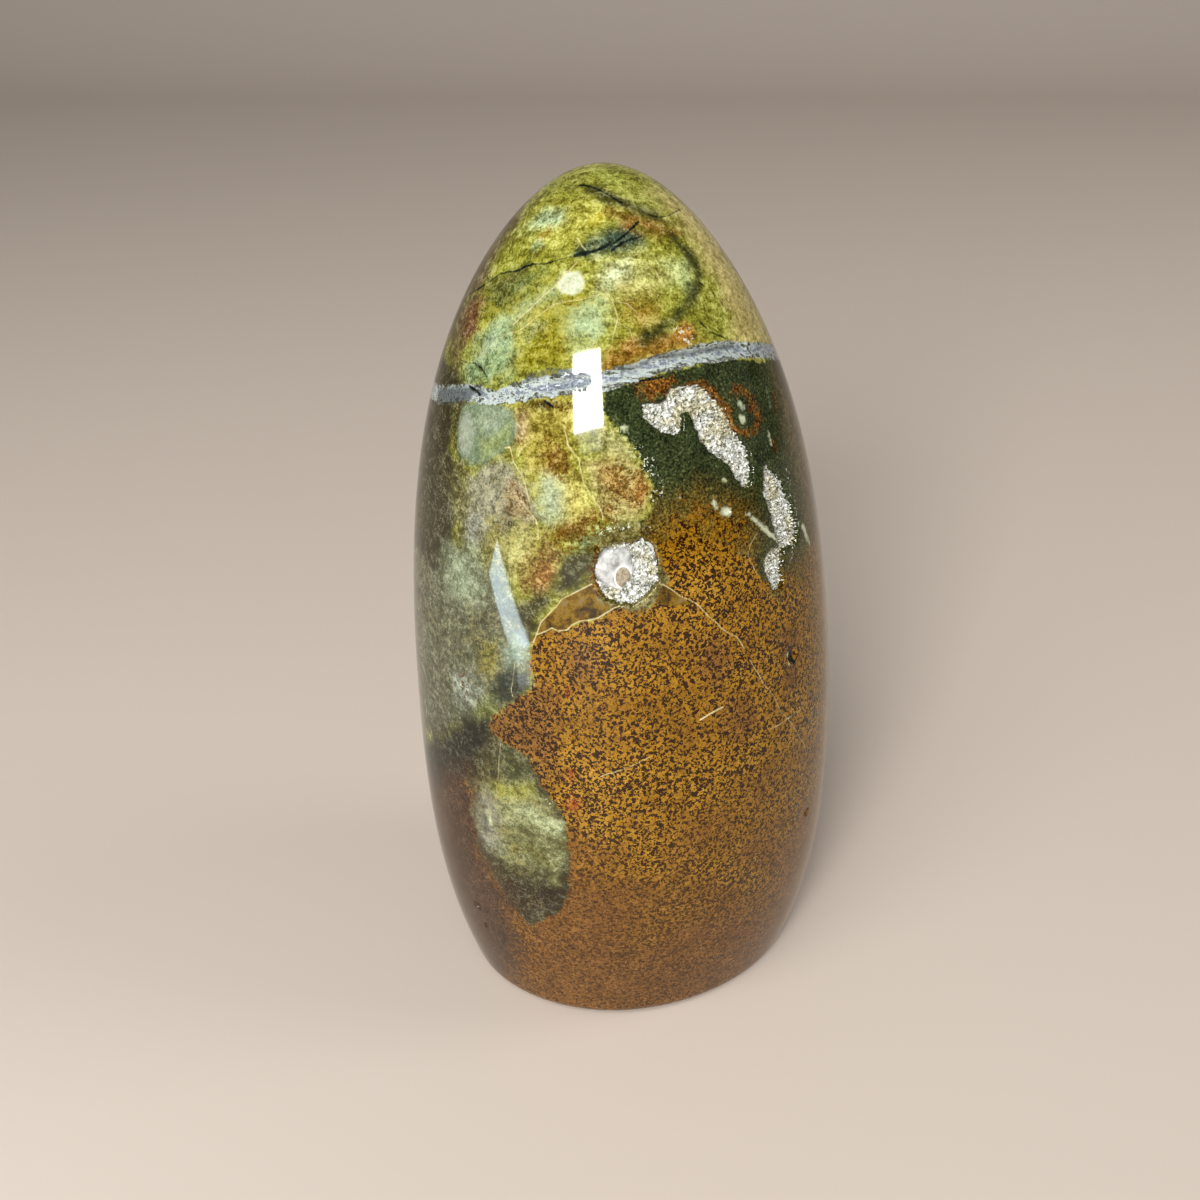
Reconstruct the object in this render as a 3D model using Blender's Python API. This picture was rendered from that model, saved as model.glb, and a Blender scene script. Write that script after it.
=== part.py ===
# Green opal freeform: a polished upright stone that stands on a small flat at its foot.
# It is one solid, with three open hollows, each lined by one crust of quartz crystals,
# an open groove along its grey vein, and a few small pits.
# Metres, +Z up. The front looks along -Y, and the origin is under the stone's middle.

import math
import random

import bmesh
import bpy
import numpy as np
from mathutils import Matrix, Vector

MM = 0.001

# The stone's form: height, half width and half depth of its sections, from foot to tip
HEIGHT = 150 * MM
SECTIONS = np.array([
    (0, 30.5, 26.1),
    (25, 36.8, 32.2),
    (60, 37.9, 34.9),
    (95, 34.5, 31.8),
    (125, 25.5, 23.5),
    (142, 14.4, 13.3),
    (150, 0.0, 0.0),
]) * MM
# The line through the sections' middles: height, x and y, so that the tip leans left and back
CENTRE_LINE = np.array([
    (0, 1.8, -1.3),
    (50, 0.0, -0.1),
    (100, -2.3, 0.9),
    (150, -4.2, 1.9),
]) * MM
# Power of the sections' outline, a little more pointed than an ellipse at 2
ROUNDNESS = 1.93
# The foot's section is skewed: x per y at the foot, fading out at this height
SKEW = 0.16
SKEW_TOP = 60 * MM
# Radius of the rounded edge around the flat foot
FOOT_RIM = 2 * MM

# Mesh of the stone: faces around it, rings from foot to tip, and rings on the rounded edge
SEGMENTS = 60
RINGS = 42
RIM_RINGS = 4
SHARP_ANGLE = math.radians(40)
# Vertices of a curve's caps nearer than this are one
WELD_DISTANCE = 0.01 * MM

# Hollows: depth under the skin, and the crust's floor, mean top and roughness in them
HOLLOW_DEPTH = 3 * MM
GAP = 0.3 * MM
CRUST_TOP = 1.5 * MM
CRUST_ROUGHNESS = 0.25 * MM
CRUST_CELL = 1.8 * MM
# Room that a cutter has outside the skin
CLEARANCE = 3 * MM

# Crystals: distance between them and how far off it they may be, as a share of it,
# then radius, height of the point, depths of tip and root, and tilt
CRYSTAL_SPACING = 2.4 * MM
CRYSTAL_SHAKE = 0.3
CRYSTAL_RADIUS = (0.7 * MM, 1.15 * MM)
CRYSTAL_POINT = 0.9 * MM
CRYSTAL_TIP_DEPTH = (0.2 * MM, 0.7 * MM)
CRYSTAL_ROOT_DEPTH = 2.1 * MM
CRYSTAL_TILT = math.radians(24)

# Each hollow's middle is an x and z on the front of the stone, and its outline is drawn in mm
# on the plane that touches the stone there, to the right and up from the middle
HOLLOWS = {
    "druse_upper": {
        "seed": 3,
        "middle": (11.0 * MM, 115.1 * MM),
        "outline": [
            (-9.2, 5.6), (-9.3, 3.4), (-6.7, 0.6), (-5.0, -0.1), (-3.3, 0.4), (-2.9, 2.6),
            (-1.8, 3.0), (-0.9, -1.6), (2.0, -4.8), (3.8, -6.5), (6.2, -10.5), (7.8, -10.5),
            (9.0, -8.3), (8.8, -5.0), (6.4, -1.4), (4.6, 2.9), (1.9, 6.2), (0.0, 7.0),
            (-3.9, 7.3), (-6.2, 5.2),
        ],
    },
    "druse_right": {
        "seed": 1,
        "middle": (23.9 * MM, 97.3 * MM),
        "outline": [
            (0.2, 10.8), (2.2, 8.1), (3.9, 5.8), (5.4, 1.5), (6.4, -2.9), (5.2, -5.0),
            (1.7, -4.6), (0.1, -7.0), (0.3, -9.8), (-1.4, -11.1), (-2.8, -10.4),
            (-3.9, -7.7), (-4.6, -5.1), (-3.2, -3.3), (-0.6, -3.0), (-1.4, 2.2),
            (-2.4, 6.3), (-1.3, 10.2),
        ],
    },
    "druse_centre": {
        "seed": 2,
        "middle": (-1.0 * MM, 94.9 * MM),
        "outline": [
            (-3.6, 3.7), (-1.4, 4.8), (1.2, 4.8), (2.9, 5.5), (4.7, 4.4), (5.5, 1.6),
            (5.6, -1.6), (3.7, -3.8), (1.6, -5.2), (-0.9, -5.3), (-3.2, -4.1), (-4.3, -1.8),
            (-4.6, 0.8),
        ],
    },
}

# The vein's groove: its height at four places across the front, and how far it runs
VEIN_LINE = np.array([(-16, 121.3), (-6, 123.3), (8, 125.3), (18, 124.8)]) * MM
VEIN_START = -17 * MM
VEIN_END = 19 * MM
VEIN_STEPS = 14
# The round cutter's radius, how far its middle stays above the skin, and how much thinner
# it is at its ends, as a share of its radius
VEIN_RADIUS = 1.6 * MM
VEIN_LIFT = 0.8 * MM
VEIN_THINNING = 0.45

# Small pits: x and z on the front, and radius
PITS = np.array([
    (15.0, 102.4, 1.0),
    (27.6, 74.2, 1.4),
    (32.9, 38.4, 0.9),
    (-27.2, 21.8, 1.1),
    (-25.7, 17.4, 0.7),
    (-16.5, 11.3, 0.7),
]) * MM
# Share of its radius that a pit's round cutter stays above the skin
PIT_LIFT = 0.35

STONE_COLOUR = (0.20, 0.16, 0.04, 1)
STONE_ROUGHNESS = 0.1
CRYSTAL_COLOUR = (0.60, 0.54, 0.45, 1)
CRYSTAL_ROUGHNESS = 0.5

WIDTH_CURVE = np.polyfit(SECTIONS[:, 0] / HEIGHT, SECTIONS[:, 1] ** 2, len(SECTIONS) - 1)
DEPTH_CURVE = np.polyfit(SECTIONS[:, 0] / HEIGHT, SECTIONS[:, 2] ** 2, len(SECTIONS) - 1)
MIDDLE_X_CURVE = np.polyfit(CENTRE_LINE[:, 0] / HEIGHT, CENTRE_LINE[:, 1], 3)
MIDDLE_Y_CURVE = np.polyfit(CENTRE_LINE[:, 0] / HEIGHT, CENTRE_LINE[:, 2], 3)
VEIN_CURVE = np.polyfit(VEIN_LINE[:, 0], VEIN_LINE[:, 1], 3)


# Half width, half depth, middle and skew of the stone's section at a height.
# The widths are curves through the squares of the sections, which closes the tip round.
def section(height):
    share = height / HEIGHT
    half_width = np.sqrt(np.maximum(np.polyval(WIDTH_CURVE, share), 0))
    half_depth = np.sqrt(np.maximum(np.polyval(DEPTH_CURVE, share), 0))
    middle_x = np.polyval(MIDDLE_X_CURVE, share)
    middle_y = np.polyval(MIDDLE_Y_CURVE, share)
    skew = SKEW * np.maximum(0, 1 - height / SKEW_TOP)
    return half_width, half_depth, middle_x, middle_y, skew


# The point of the skin at an angle around the stone, pulled in by an inset
def skin_point(angle, height, inset):
    half_width, half_depth, middle_x, middle_y, skew = section(height)
    power = 2 / ROUNDNESS
    across = math.copysign(abs(math.cos(angle)) ** power, math.cos(angle))
    along = math.copysign(abs(math.sin(angle)) ** power, math.sin(angle))
    y = max(half_depth - inset, 0) * along
    x = max(half_width - inset, 0) * across + skew * y
    return Vector((middle_x + x, middle_y + y, height))


# Under 0 inside the stone and over 0 outside it, for an array of points
def outside(points):
    x, y, height = points[..., 0], points[..., 1], np.clip(points[..., 2], 0, HEIGHT * 0.999)
    half_width, half_depth, middle_x, middle_y, skew = section(height)
    across = np.abs(x - middle_x - skew * (y - middle_y)) / half_width
    along = np.abs(y - middle_y) / half_depth
    return (across ** ROUNDNESS + along ** ROUNDNESS) ** (1 / ROUNDNESS) - 1


# How far each point is from the skin along a direction that runs into the stone
def distance_to_skin(points, direction):
    near = np.zeros(points.shape[:-1])
    far = np.full(points.shape[:-1], HEIGHT / 3)
    for _ in range(40):
        middle = (near + far) / 2
        inside = outside(points + direction * middle[..., None]) < 0
        far = np.where(inside, middle, far)
        near = np.where(inside, near, middle)
    return (near + far) / 2


# The point of the skin at an x and z, seen from the front
def front_point(x, height):
    start = np.array([x, -HEIGHT / 3, height])
    into = np.array([0.0, 1.0, 0.0])
    return start + into * distance_to_skin(start, into)


# The skin's direction outwards at a point
def skin_normal(point):
    step = 0.05 * MM
    slope = [outside(point + axis) - outside(point - axis) for axis in np.eye(3) * step]
    return np.array(slope) / np.linalg.norm(slope)


# A frame on the skin: its origin, and its directions to the right, up and outwards
def touching_frame(x, height):
    origin = front_point(x, height)
    outwards = skin_normal(origin)
    right = np.cross((0, 0, 1), outwards)
    right /= np.linalg.norm(right)
    return origin, right, np.cross(outwards, right), outwards


# A frame as a matrix, for objects drawn flat on it
def frame_matrix(frame):
    origin, right, up, outwards = frame
    matrix = Matrix((right, up, outwards)).transposed().to_4x4()
    matrix.translation = Vector(origin)
    return matrix


def new_collection(name):
    collection = bpy.data.collections.new(name)
    bpy.context.scene.collection.children.link(collection)
    return collection


def new_object(name, mesh_data, collection):
    piece = bpy.data.objects.new(name, mesh_data)
    collection.objects.link(piece)
    return piece


def object_from_bmesh(name, work_mesh, collection):
    bmesh.ops.recalc_face_normals(work_mesh, faces=work_mesh.faces)
    mesh = bpy.data.meshes.new(name)
    work_mesh.to_mesh(mesh)
    work_mesh.free()
    return new_object(name, mesh, collection)


def mark_as_cutter(piece):
    piece.hide_render = True
    piece.display_type = "WIRE"


def add_boolean(piece, operation, other):
    boolean = piece.modifiers.new(operation.lower(), "BOOLEAN")
    boolean.operation = operation
    boolean.object = other


def make_material(name, colour, roughness):
    material = bpy.data.materials.new(name)
    material.use_nodes = True
    shader = material.node_tree.nodes["Principled BSDF"]
    shader.inputs["Base Color"].default_value = colour
    shader.inputs["Roughness"].default_value = roughness
    shader.inputs["Metallic"].default_value = 0
    return material


# Makes a curve object a mesh, with its caps welded
def curve_to_mesh(curve_object, collection):
    bpy.context.view_layer.update()
    evaluated = curve_object.evaluated_get(bpy.context.evaluated_depsgraph_get())
    mesh = bpy.data.meshes.new_from_object(evaluated)
    welded = bmesh.new()
    welded.from_mesh(mesh)
    bmesh.ops.remove_doubles(welded, verts=welded.verts, dist=WELD_DISTANCE)
    bmesh.ops.recalc_face_normals(welded, faces=welded.faces)
    welded.to_mesh(mesh)
    welded.free()
    piece = new_object(curve_object.name + "_mesh", mesh, collection)
    piece.matrix_world = curve_object.matrix_world
    bpy.data.objects.remove(curve_object)
    mark_as_cutter(piece)
    return piece


# Height and inset of a ring of the stone's mesh. Ring 0 is the foot's middle, so its inset
# only has to be larger than the foot. The rounded edge follows, and then the body.
def ring_place(ring):
    if ring == 0:
        return 0, HEIGHT
    if ring <= RIM_RINGS:
        turn = math.radians(90) * (ring - 1) / (RIM_RINGS - 1)
        return FOOT_RIM * (1 - math.cos(turn)), FOOT_RIM * (1 - math.sin(turn))
    share = (ring - RIM_RINGS) / (RINGS - RIM_RINGS)
    return FOOT_RIM + (HEIGHT - FOOT_RIM) * math.sin(share * math.pi / 2), 0


def build_stone(collection):
    body = bmesh.new()
    bmesh.ops.create_uvsphere(body, u_segments=SEGMENTS, v_segments=RINGS, radius=1)
    foot_middle = min(body.verts, key=lambda vert: vert.co.z)
    for vert in body.verts:
        ring = round(math.acos(min(1, max(-1, -vert.co.z))) / math.pi * RINGS)
        height, inset = ring_place(ring)
        vert.co = skin_point(math.atan2(vert.co.y, vert.co.x), height, inset)
    bmesh.ops.dissolve_verts(body, verts=[foot_middle])
    stone = object_from_bmesh("stone", body, collection)
    stone.data.shade_smooth()
    stone.data.set_sharp_from_angle(angle=SHARP_ANGLE)
    return stone


# The outline pulled in by a distance, each corner along its two edges' normals
def inset_outline(outline, distance):
    points = [Vector(point) * MM for point in outline]
    area = sum(a.cross(b) for a, b in zip(points, points[1:] + points[:1]))
    side = math.copysign(1, area)
    moved = []
    for before, here, after in zip(points[-1:] + points[:-1], points, points[1:] + points[:1]):
        first = (here - before).normalized().orthogonal() * side
        second = (after - here).normalized().orthogonal() * side
        corner = (first + second).normalized()
        moved.append(here + corner * distance / max(corner.dot(first), 0.5))
    return moved


# A prism through the skin with a hollow's outline, pulled in by a distance
def outline_prism(name, hollow, frame, distance, collection):
    curve = bpy.data.curves.new(name, "CURVE")
    curve.dimensions = "2D"
    curve.fill_mode = "BOTH"
    curve.extrude = 2 * (HOLLOW_DEPTH + CLEARANCE)
    points = inset_outline(hollow["outline"], distance)
    spline = curve.splines.new("POLY")
    spline.points.add(len(points) - 1)
    for spline_point, point in zip(spline.points, points):
        spline_point.co = (point.x, point.y, 0, 1)
    spline.use_cyclic_u = True
    drawn = new_object(name, curve, collection)
    drawn.matrix_world = frame_matrix(frame)
    return curve_to_mesh(drawn, collection)


# A block that follows the skin over a hollow, between two depths, with a top that may be rough
def skin_block(name, hollow, frame, top, bottom, roughness, collection):
    origin, right, up, outwards = frame
    corners = np.array(hollow["outline"]) * MM
    low = corners.min(axis=0) - CRUST_CELL
    size = corners.max(axis=0) + CRUST_CELL - low
    cells = np.ceil(size / CRUST_CELL).astype(int)
    block = bmesh.new()
    bmesh.ops.create_grid(block, x_segments=cells[0], y_segments=cells[1], size=0.5)
    extruded = bmesh.ops.extrude_face_region(block, geom=block.faces[:])["geom"]
    lower = {item for item in extruded if isinstance(item, bmesh.types.BMVert)}
    shake = random.Random(hollow["seed"])
    for vert in block.verts:
        flat = low + size * (vert.co.x + 0.5, vert.co.y + 0.5)
        start = origin + right * flat[0] + up * flat[1] + outwards * 2 * CLEARANCE
        depth = bottom if vert in lower else top + shake.uniform(-roughness, roughness)
        vert.co = start - outwards * (distance_to_skin(start, -outwards) + depth)
    return object_from_bmesh(name, block, collection)


def is_inside(point, outline):
    inside = False
    for (ax, ay), (bx, by) in zip(outline, outline[1:] + outline[:1]):
        if (ay > point[1]) != (by > point[1]):
            if point[0] < ax + (bx - ax) * (point[1] - ay) / (by - ay):
                inside = not inside
    return inside


# One six-sided crystal: its point is at the matrix's origin, and it runs down its -Z
def add_crystal(name, matrix, radius, length, collection):
    crystal = bmesh.new()
    prism_place = Matrix.Translation((0, 0, -CRYSTAL_POINT - length / 2))
    bmesh.ops.create_cone(crystal, cap_ends=True, segments=6, radius1=radius, radius2=radius,
                          depth=length, matrix=prism_place)
    end = max(crystal.faces, key=lambda face: face.calc_center_median().z)
    poked = bmesh.ops.poke(crystal, faces=[end])
    poked["verts"][0].co.z = 0
    crystal.transform(matrix)
    mark_as_cutter(object_from_bmesh(name, crystal, collection))


# Crystals on a shaken grid over a hollow's outline, in a collection of their own
def build_crystals(name, hollow, frame):
    collection = new_collection(name)
    origin, right, up, outwards = frame
    outline = [tuple(point) for point in inset_outline(hollow["outline"], GAP)]
    low = np.min(outline, axis=0)
    columns, rows = (np.ptp(outline, axis=0) / CRYSTAL_SPACING).astype(int) + 1
    dice = random.Random(hollow["seed"])
    turned = frame_matrix(frame).to_3x3().to_4x4()
    for row in range(rows + 1):
        for column in range(columns + 1):
            across = column + (row % 2) / 2 + dice.uniform(-CRYSTAL_SHAKE, CRYSTAL_SHAKE)
            along = row + dice.uniform(-CRYSTAL_SHAKE, CRYSTAL_SHAKE)
            flat = low + np.array((across, along)) * CRYSTAL_SPACING
            radius = dice.uniform(*CRYSTAL_RADIUS)
            tip_depth = dice.uniform(*CRYSTAL_TIP_DEPTH)
            tilt = Matrix.Rotation(dice.uniform(0, CRYSTAL_TILT), 4, "X")
            lean = Matrix.Rotation(dice.uniform(0, math.tau), 4, "Z")
            turn = Matrix.Rotation(dice.uniform(0, math.tau), 4, "Z")
            if not is_inside(flat, outline):
                continue
            start = origin + right * flat[0] + up * flat[1] + outwards * 2 * CLEARANCE
            tip = start - outwards * (distance_to_skin(start, -outwards) + tip_depth)
            matrix = Matrix.Translation(Vector(tip)) @ turned @ lean @ tilt @ turn
            length = CRYSTAL_ROOT_DEPTH - CRYSTAL_POINT - tip_depth
            add_crystal(f"{name}_{row}_{column}", matrix, radius, length, collection)
    return collection


# Cuts a hollow into the stone, and lines it with a crust that keeps a gap to it all around
def build_hollow(name, hollow, stone, parts, cutters):
    frame = touching_frame(*hollow["middle"])
    cutter = skin_block(name + "_cutter", hollow, frame, -CLEARANCE, HOLLOW_DEPTH, 0, cutters)
    add_boolean(cutter, "INTERSECT", outline_prism(name + "_opening", hollow, frame, 0, cutters))
    mark_as_cutter(cutter)
    add_boolean(stone, "DIFFERENCE", cutter)

    crust = skin_block(name, hollow, frame, CRUST_TOP, HOLLOW_DEPTH - GAP, CRUST_ROUGHNESS, parts)
    fused = crust.modifiers.new("crystals", "BOOLEAN")
    fused.operation = "UNION"
    fused.operand_type = "COLLECTION"
    fused.collection = build_crystals(name + "_crystals", hollow, frame)
    add_boolean(crust, "INTERSECT", outline_prism(name + "_edge", hollow, frame, GAP, cutters))
    return crust


# A round tube along the vein, which dips into the skin and thins out at both ends
def cut_vein(stone, cutters):
    curve = bpy.data.curves.new("vein_cutter", "CURVE")
    curve.dimensions = "3D"
    curve.bevel_depth = VEIN_RADIUS
    curve.bevel_resolution = 2
    curve.use_fill_caps = True
    spline = curve.splines.new("POLY")
    spline.points.add(VEIN_STEPS)
    for step, spline_point in enumerate(spline.points):
        share = step / VEIN_STEPS
        x = VEIN_START + (VEIN_END - VEIN_START) * share
        skin = front_point(x, np.polyval(VEIN_CURVE, x))
        middle = skin + skin_normal(skin) * VEIN_LIFT
        spline_point.co = (*middle, 1)
        spline_point.radius = 1 - VEIN_THINNING * abs(2 * share - 1) ** 3
    add_boolean(stone, "DIFFERENCE", curve_to_mesh(new_object("vein", curve, cutters), cutters))


def cut_pits(stone, cutters):
    for number, (x, height, radius) in enumerate(PITS, start=1):
        skin = front_point(x, height)
        middle = skin + skin_normal(skin) * radius * PIT_LIFT
        ball = bmesh.new()
        bmesh.ops.create_icosphere(ball, subdivisions=2, radius=radius,
                                   matrix=Matrix.Translation(Vector(middle)))
        pit = object_from_bmesh(f"pit_{number}", ball, cutters)
        mark_as_cutter(pit)
        add_boolean(stone, "DIFFERENCE", pit)


def main():
    for old in list(bpy.data.objects):
        bpy.data.objects.remove(old)
    parts = new_collection("green_opal_freeform")
    cutters = new_collection("cutters")
    stone = build_stone(parts)
    stone.data.materials.append(make_material("polished opal", STONE_COLOUR, STONE_ROUGHNESS))
    quartz = make_material("quartz crystals", CRYSTAL_COLOUR, CRYSTAL_ROUGHNESS)
    for name, hollow in HOLLOWS.items():
        crust = build_hollow(name, hollow, stone, parts, cutters)
        crust.data.materials.append(quartz)
    cut_vein(stone, cutters)
    cut_pits(stone, cutters)
    bpy.context.view_layer.update()


main()
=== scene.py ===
import math

import bmesh
import bpy
import numpy as np
from mathutils import Matrix, Vector, noise


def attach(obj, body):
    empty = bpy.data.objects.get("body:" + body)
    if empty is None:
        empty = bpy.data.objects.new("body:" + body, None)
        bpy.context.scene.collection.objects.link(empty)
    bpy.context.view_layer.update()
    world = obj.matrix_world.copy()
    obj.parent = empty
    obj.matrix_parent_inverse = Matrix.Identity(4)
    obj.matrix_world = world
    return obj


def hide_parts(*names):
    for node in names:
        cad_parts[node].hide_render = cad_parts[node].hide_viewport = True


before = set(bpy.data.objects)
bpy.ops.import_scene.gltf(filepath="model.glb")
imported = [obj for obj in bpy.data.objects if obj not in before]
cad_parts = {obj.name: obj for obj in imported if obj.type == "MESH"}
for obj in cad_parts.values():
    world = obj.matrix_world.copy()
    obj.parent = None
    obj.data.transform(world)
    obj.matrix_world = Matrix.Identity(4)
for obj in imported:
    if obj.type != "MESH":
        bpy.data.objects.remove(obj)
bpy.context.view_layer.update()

mm = 0.001  # the stone's form is worked out in millimetres, and its meshes are in metres
tiny = 1e-9  # keeps roots and shares from dividing by nothing
farAway = 12.0  # mm: beyond this a mark's distance isn't worked out

# The camera of the photograph: where it stands in mm, how far it looks down, and its lens.
# One focal length is 1400 pixels of a picture that is 1200 pixels wide. The stone lies between
# near and far in mm from it, and nothing nearer than clipStart is shown.
photoCamera = {
    "eye": (-4.72, -223.30, 192.46),
    "lookDown": 28,
    "focalPixels": 1400,
    "pictureWidth": 1200,
    "sensor": 36,
    "near": 150,
    "far": 420,
    "clipStart": 10,
}

# The stone's form, as in the solid: sections are height, half width and half depth,
# and the centre line is height, x and y
stoneForm = {
    "height": 150,
    "sections": [(0, 30.5, 26.1), (25, 36.8, 32.2), (60, 37.9, 34.9), (95, 34.5, 31.8),
                 (125, 25.5, 23.5), (142, 14.4, 13.3), (150, 0, 0)],
    "centreLine": [(0, 1.8, -1.3), (50, 0, -0.1), (100, -2.3, 0.9), (150, -4.2, 1.9)],
    "roundness": 1.93,
    "skew": 0.16,
    "skewTop": 60,
    "footRim": 2,
}

# The fineness of its mesh: faces around, rings on the body, the rounded edge and the foot,
# how much finer the front is than the back, and how close to a fine mark faces are parted
stoneMesh = {
    "around": 228,
    "bodyRings": 200,
    "rimRings": 5,
    "footRings": 8,
    "frontShare": 0.35,
    "firstParting": 1.3,
    "secondParting": 0.6,
    "heightSteps": 4000,
}

# How rays find the skin: steps along them, and then halvings of the step that enters it.
# Places on the front are found by rays from y = frontStart in mm, straight to the back.
raySearch = {"steps": 160, "halvings": 24, "frontStart": -100.0, "frontReach": 110}


def curveThrough(rows, column, power, degree):
    table = np.array(rows, float)
    return np.polyfit(table[:, 0] / stoneForm["height"], table[:, column] ** power, degree)


halfWidthCurve = curveThrough(stoneForm["sections"], 1, 2, 6)
halfDepthCurve = curveThrough(stoneForm["sections"], 2, 2, 6)
middleXCurve = curveThrough(stoneForm["centreLine"], 1, 1, 3)
middleYCurve = curveThrough(stoneForm["centreLine"], 2, 1, 3)


def section(height):
    share = np.clip(height / stoneForm["height"], 0, 1)
    rim = stoneForm["footRim"]
    inset = rim - np.sqrt(rim ** 2 - np.clip(rim - height, 0, rim) ** 2)
    halfWidth = np.sqrt(np.maximum(np.polyval(halfWidthCurve, share), tiny)) - inset
    halfDepth = np.sqrt(np.maximum(np.polyval(halfDepthCurve, share), tiny)) - inset
    skew = stoneForm["skew"] * np.clip(1 - height / stoneForm["skewTop"], 0, 1)
    return halfWidth, halfDepth, np.polyval(middleXCurve, share), np.polyval(middleYCurve, share), skew


# Points of the skin at angles in degrees, 0 at the front and 90 at the right, and heights
def skinPoints(angle, height):
    halfWidth, halfDepth, middleX, middleY, skew = section(height)
    turn = np.radians(angle - 90)
    power = 2 / stoneForm["roundness"]
    y = halfDepth * np.copysign(np.abs(np.sin(turn)) ** power, np.sin(turn))
    x = halfWidth * np.copysign(np.abs(np.cos(turn)) ** power, np.cos(turn)) + skew * y
    return np.stack([middleX + x, middleY + y, height + 0 * x], -1)


# Under 0 inside the stone and over 0 outside
def outside(points):
    x, y, height = points[..., 0], points[..., 1], points[..., 2]
    halfWidth, halfDepth, middleX, middleY, skew = section(height)
    across = np.abs(x - middleX - skew * (y - middleY)) / halfWidth
    along = np.abs(y - middleY) / halfDepth
    power = stoneForm["roundness"]
    over = (across ** power + along ** power) ** (1 / power) - 1
    return np.where(height > stoneForm["height"], 1, over)


def slopeOutwards(points):
    step = 0.02
    return np.stack([(outside(points + axis) - outside(points - axis)) / (2 * step)
                     for axis in np.eye(3) * step], -1)


def skinNormals(points):
    slope = slopeOutwards(points)
    return slope / np.linalg.norm(slope, axis=-1, keepdims=True)


def settleOnSkin(points, rounds=3):
    for _ in range(rounds):
        slope = slopeOutwards(points)
        points = points - slope * (outside(points) / (slope ** 2).sum(-1))[..., None]
    return points


# Where rays from start meet the skin
def meetSkin(start, direction, near, far):
    steps = np.linspace(near, far, raySearch["steps"])
    path = start[..., None, :] + direction[..., None, :] * steps[:, None]
    first = (outside(path) < 0).argmax(-1)
    low, high = steps[np.maximum(first - 1, 0)], steps[first]
    for _ in range(raySearch["halvings"]):
        middle = (low + high) / 2
        inside = outside(start + direction * middle[..., None]) < 0
        high = np.where(inside, middle, high)
        low = np.where(inside, low, middle)
    return start + direction * high[..., None]


def pixelRays(pixels):
    down = math.radians(photoCamera["lookDown"])
    middle = photoCamera["pictureWidth"] / 2
    ahead = np.array([0, math.cos(down), -math.sin(down)])
    up = np.array([0, math.sin(down), math.cos(down)])
    right = np.array([1.0, 0, 0])
    x, y = ((np.array(pixels, float) - middle) / photoCamera["focalPixels"]).T
    rays = ahead + right * x[:, None] - up * y[:, None]
    return rays / np.linalg.norm(rays, axis=1, keepdims=True)


# The skin's points that show at pixels of the photograph
def skinAtPixels(pixels):
    rays = pixelRays(pixels)
    eye = np.broadcast_to(np.array(photoCamera["eye"]), rays.shape)
    return meetSkin(eye, rays, photoCamera["near"], photoCamera["far"])


def angleAndHeight(points):
    halfWidth, halfDepth, middleX, middleY, skew = section(points[..., 2])
    along = (points[..., 1] - middleY) / halfDepth
    across = (points[..., 0] - middleX - skew * (points[..., 1] - middleY)) / halfWidth
    return np.degrees(np.arctan2(across, -along)), points[..., 2]


# The skin seen from above and spread flat, with the tip in the middle and the foot outermost
def spreadFlat(points):
    angle, height = angleAndHeight(points)
    reach = stoneForm["height"] - height
    return np.stack([reach * np.sin(np.radians(angle)), reach * np.cos(np.radians(angle))], -1)


# Marks on the stone. Their points are pixels of the photograph, or side(angle, height)
# where it doesn't show them. Widths are pixels of the photograph too.
def side(angle, height):
    return (angle, height, "side")


def patch(*points):
    return {"points": points, "closed": True, "width": 0}


# All of the stone on the foot's side of a loop around it
def below(*points):
    return {"points": points, "closed": True, "width": 0, "below": True}


def stroke(width, *points):
    return {"points": points, "closed": False, "width": width}


# A mark's edges follow the skin in steps of this many pixels, or of this many degrees or mm
# where they are placed by angle
traceSteps = {"pixels": 10, "side": 3}


# A mark's point as its angle and height
def asSide(point):
    if len(point) == 3:
        return np.array(point[:2], float)
    return np.array(angleAndHeight(skinAtPixels([point])[0]))


# The mark's line on the skin in small steps
def traceMark(mark):
    points = list(mark["points"])
    if mark["closed"]:
        points.append(points[0])
    traced = []
    for here, after in zip(points, points[1:]):
        if len(here) == 2 and len(after) == 2:
            count = max(1, round(math.dist(here, after) / traceSteps["pixels"]))
            share = np.linspace(0, 1, count + 1)[:, None]
            run = skinAtPixels(np.array(here) + (np.array(after) - np.array(here)) * share)
        else:
            start, end = asSide(here), asSide(after)
            turn = (end[0] - start[0] + 180) % 360 - 180
            rise = end[1] - start[1]
            count = max(1, round(max(abs(turn), abs(rise)) / traceSteps["side"]))
            share = np.linspace(0, 1, count + 1)
            run = skinPoints(start[0] + turn * share, start[1] + rise * share)
        traced.append(run[1:] if traced else run)
    return np.concatenate(traced)


def distanceToLine(points, line):
    nearest = np.full(len(points), np.inf)
    for here, after in zip(line, line[1:]):
        run = after - here
        share = np.clip(((points - here) @ run) / max(run @ run, tiny), 0, 1)
        nearest = np.minimum(nearest, ((points - here - share[:, None] * run) ** 2).sum(1))
    return np.sqrt(nearest)


def isInside(flat, outline):
    inside = np.zeros(len(flat), bool)
    x, y = flat.T
    for (ax, ay), (bx, by) in zip(outline, np.roll(outline, -1, axis=0)):
        if ay != by:
            crosses = (ay > y) != (by > y)
            inside ^= crosses & (x < ax + (bx - ax) * (y - ay) / (by - ay))
    return inside


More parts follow.
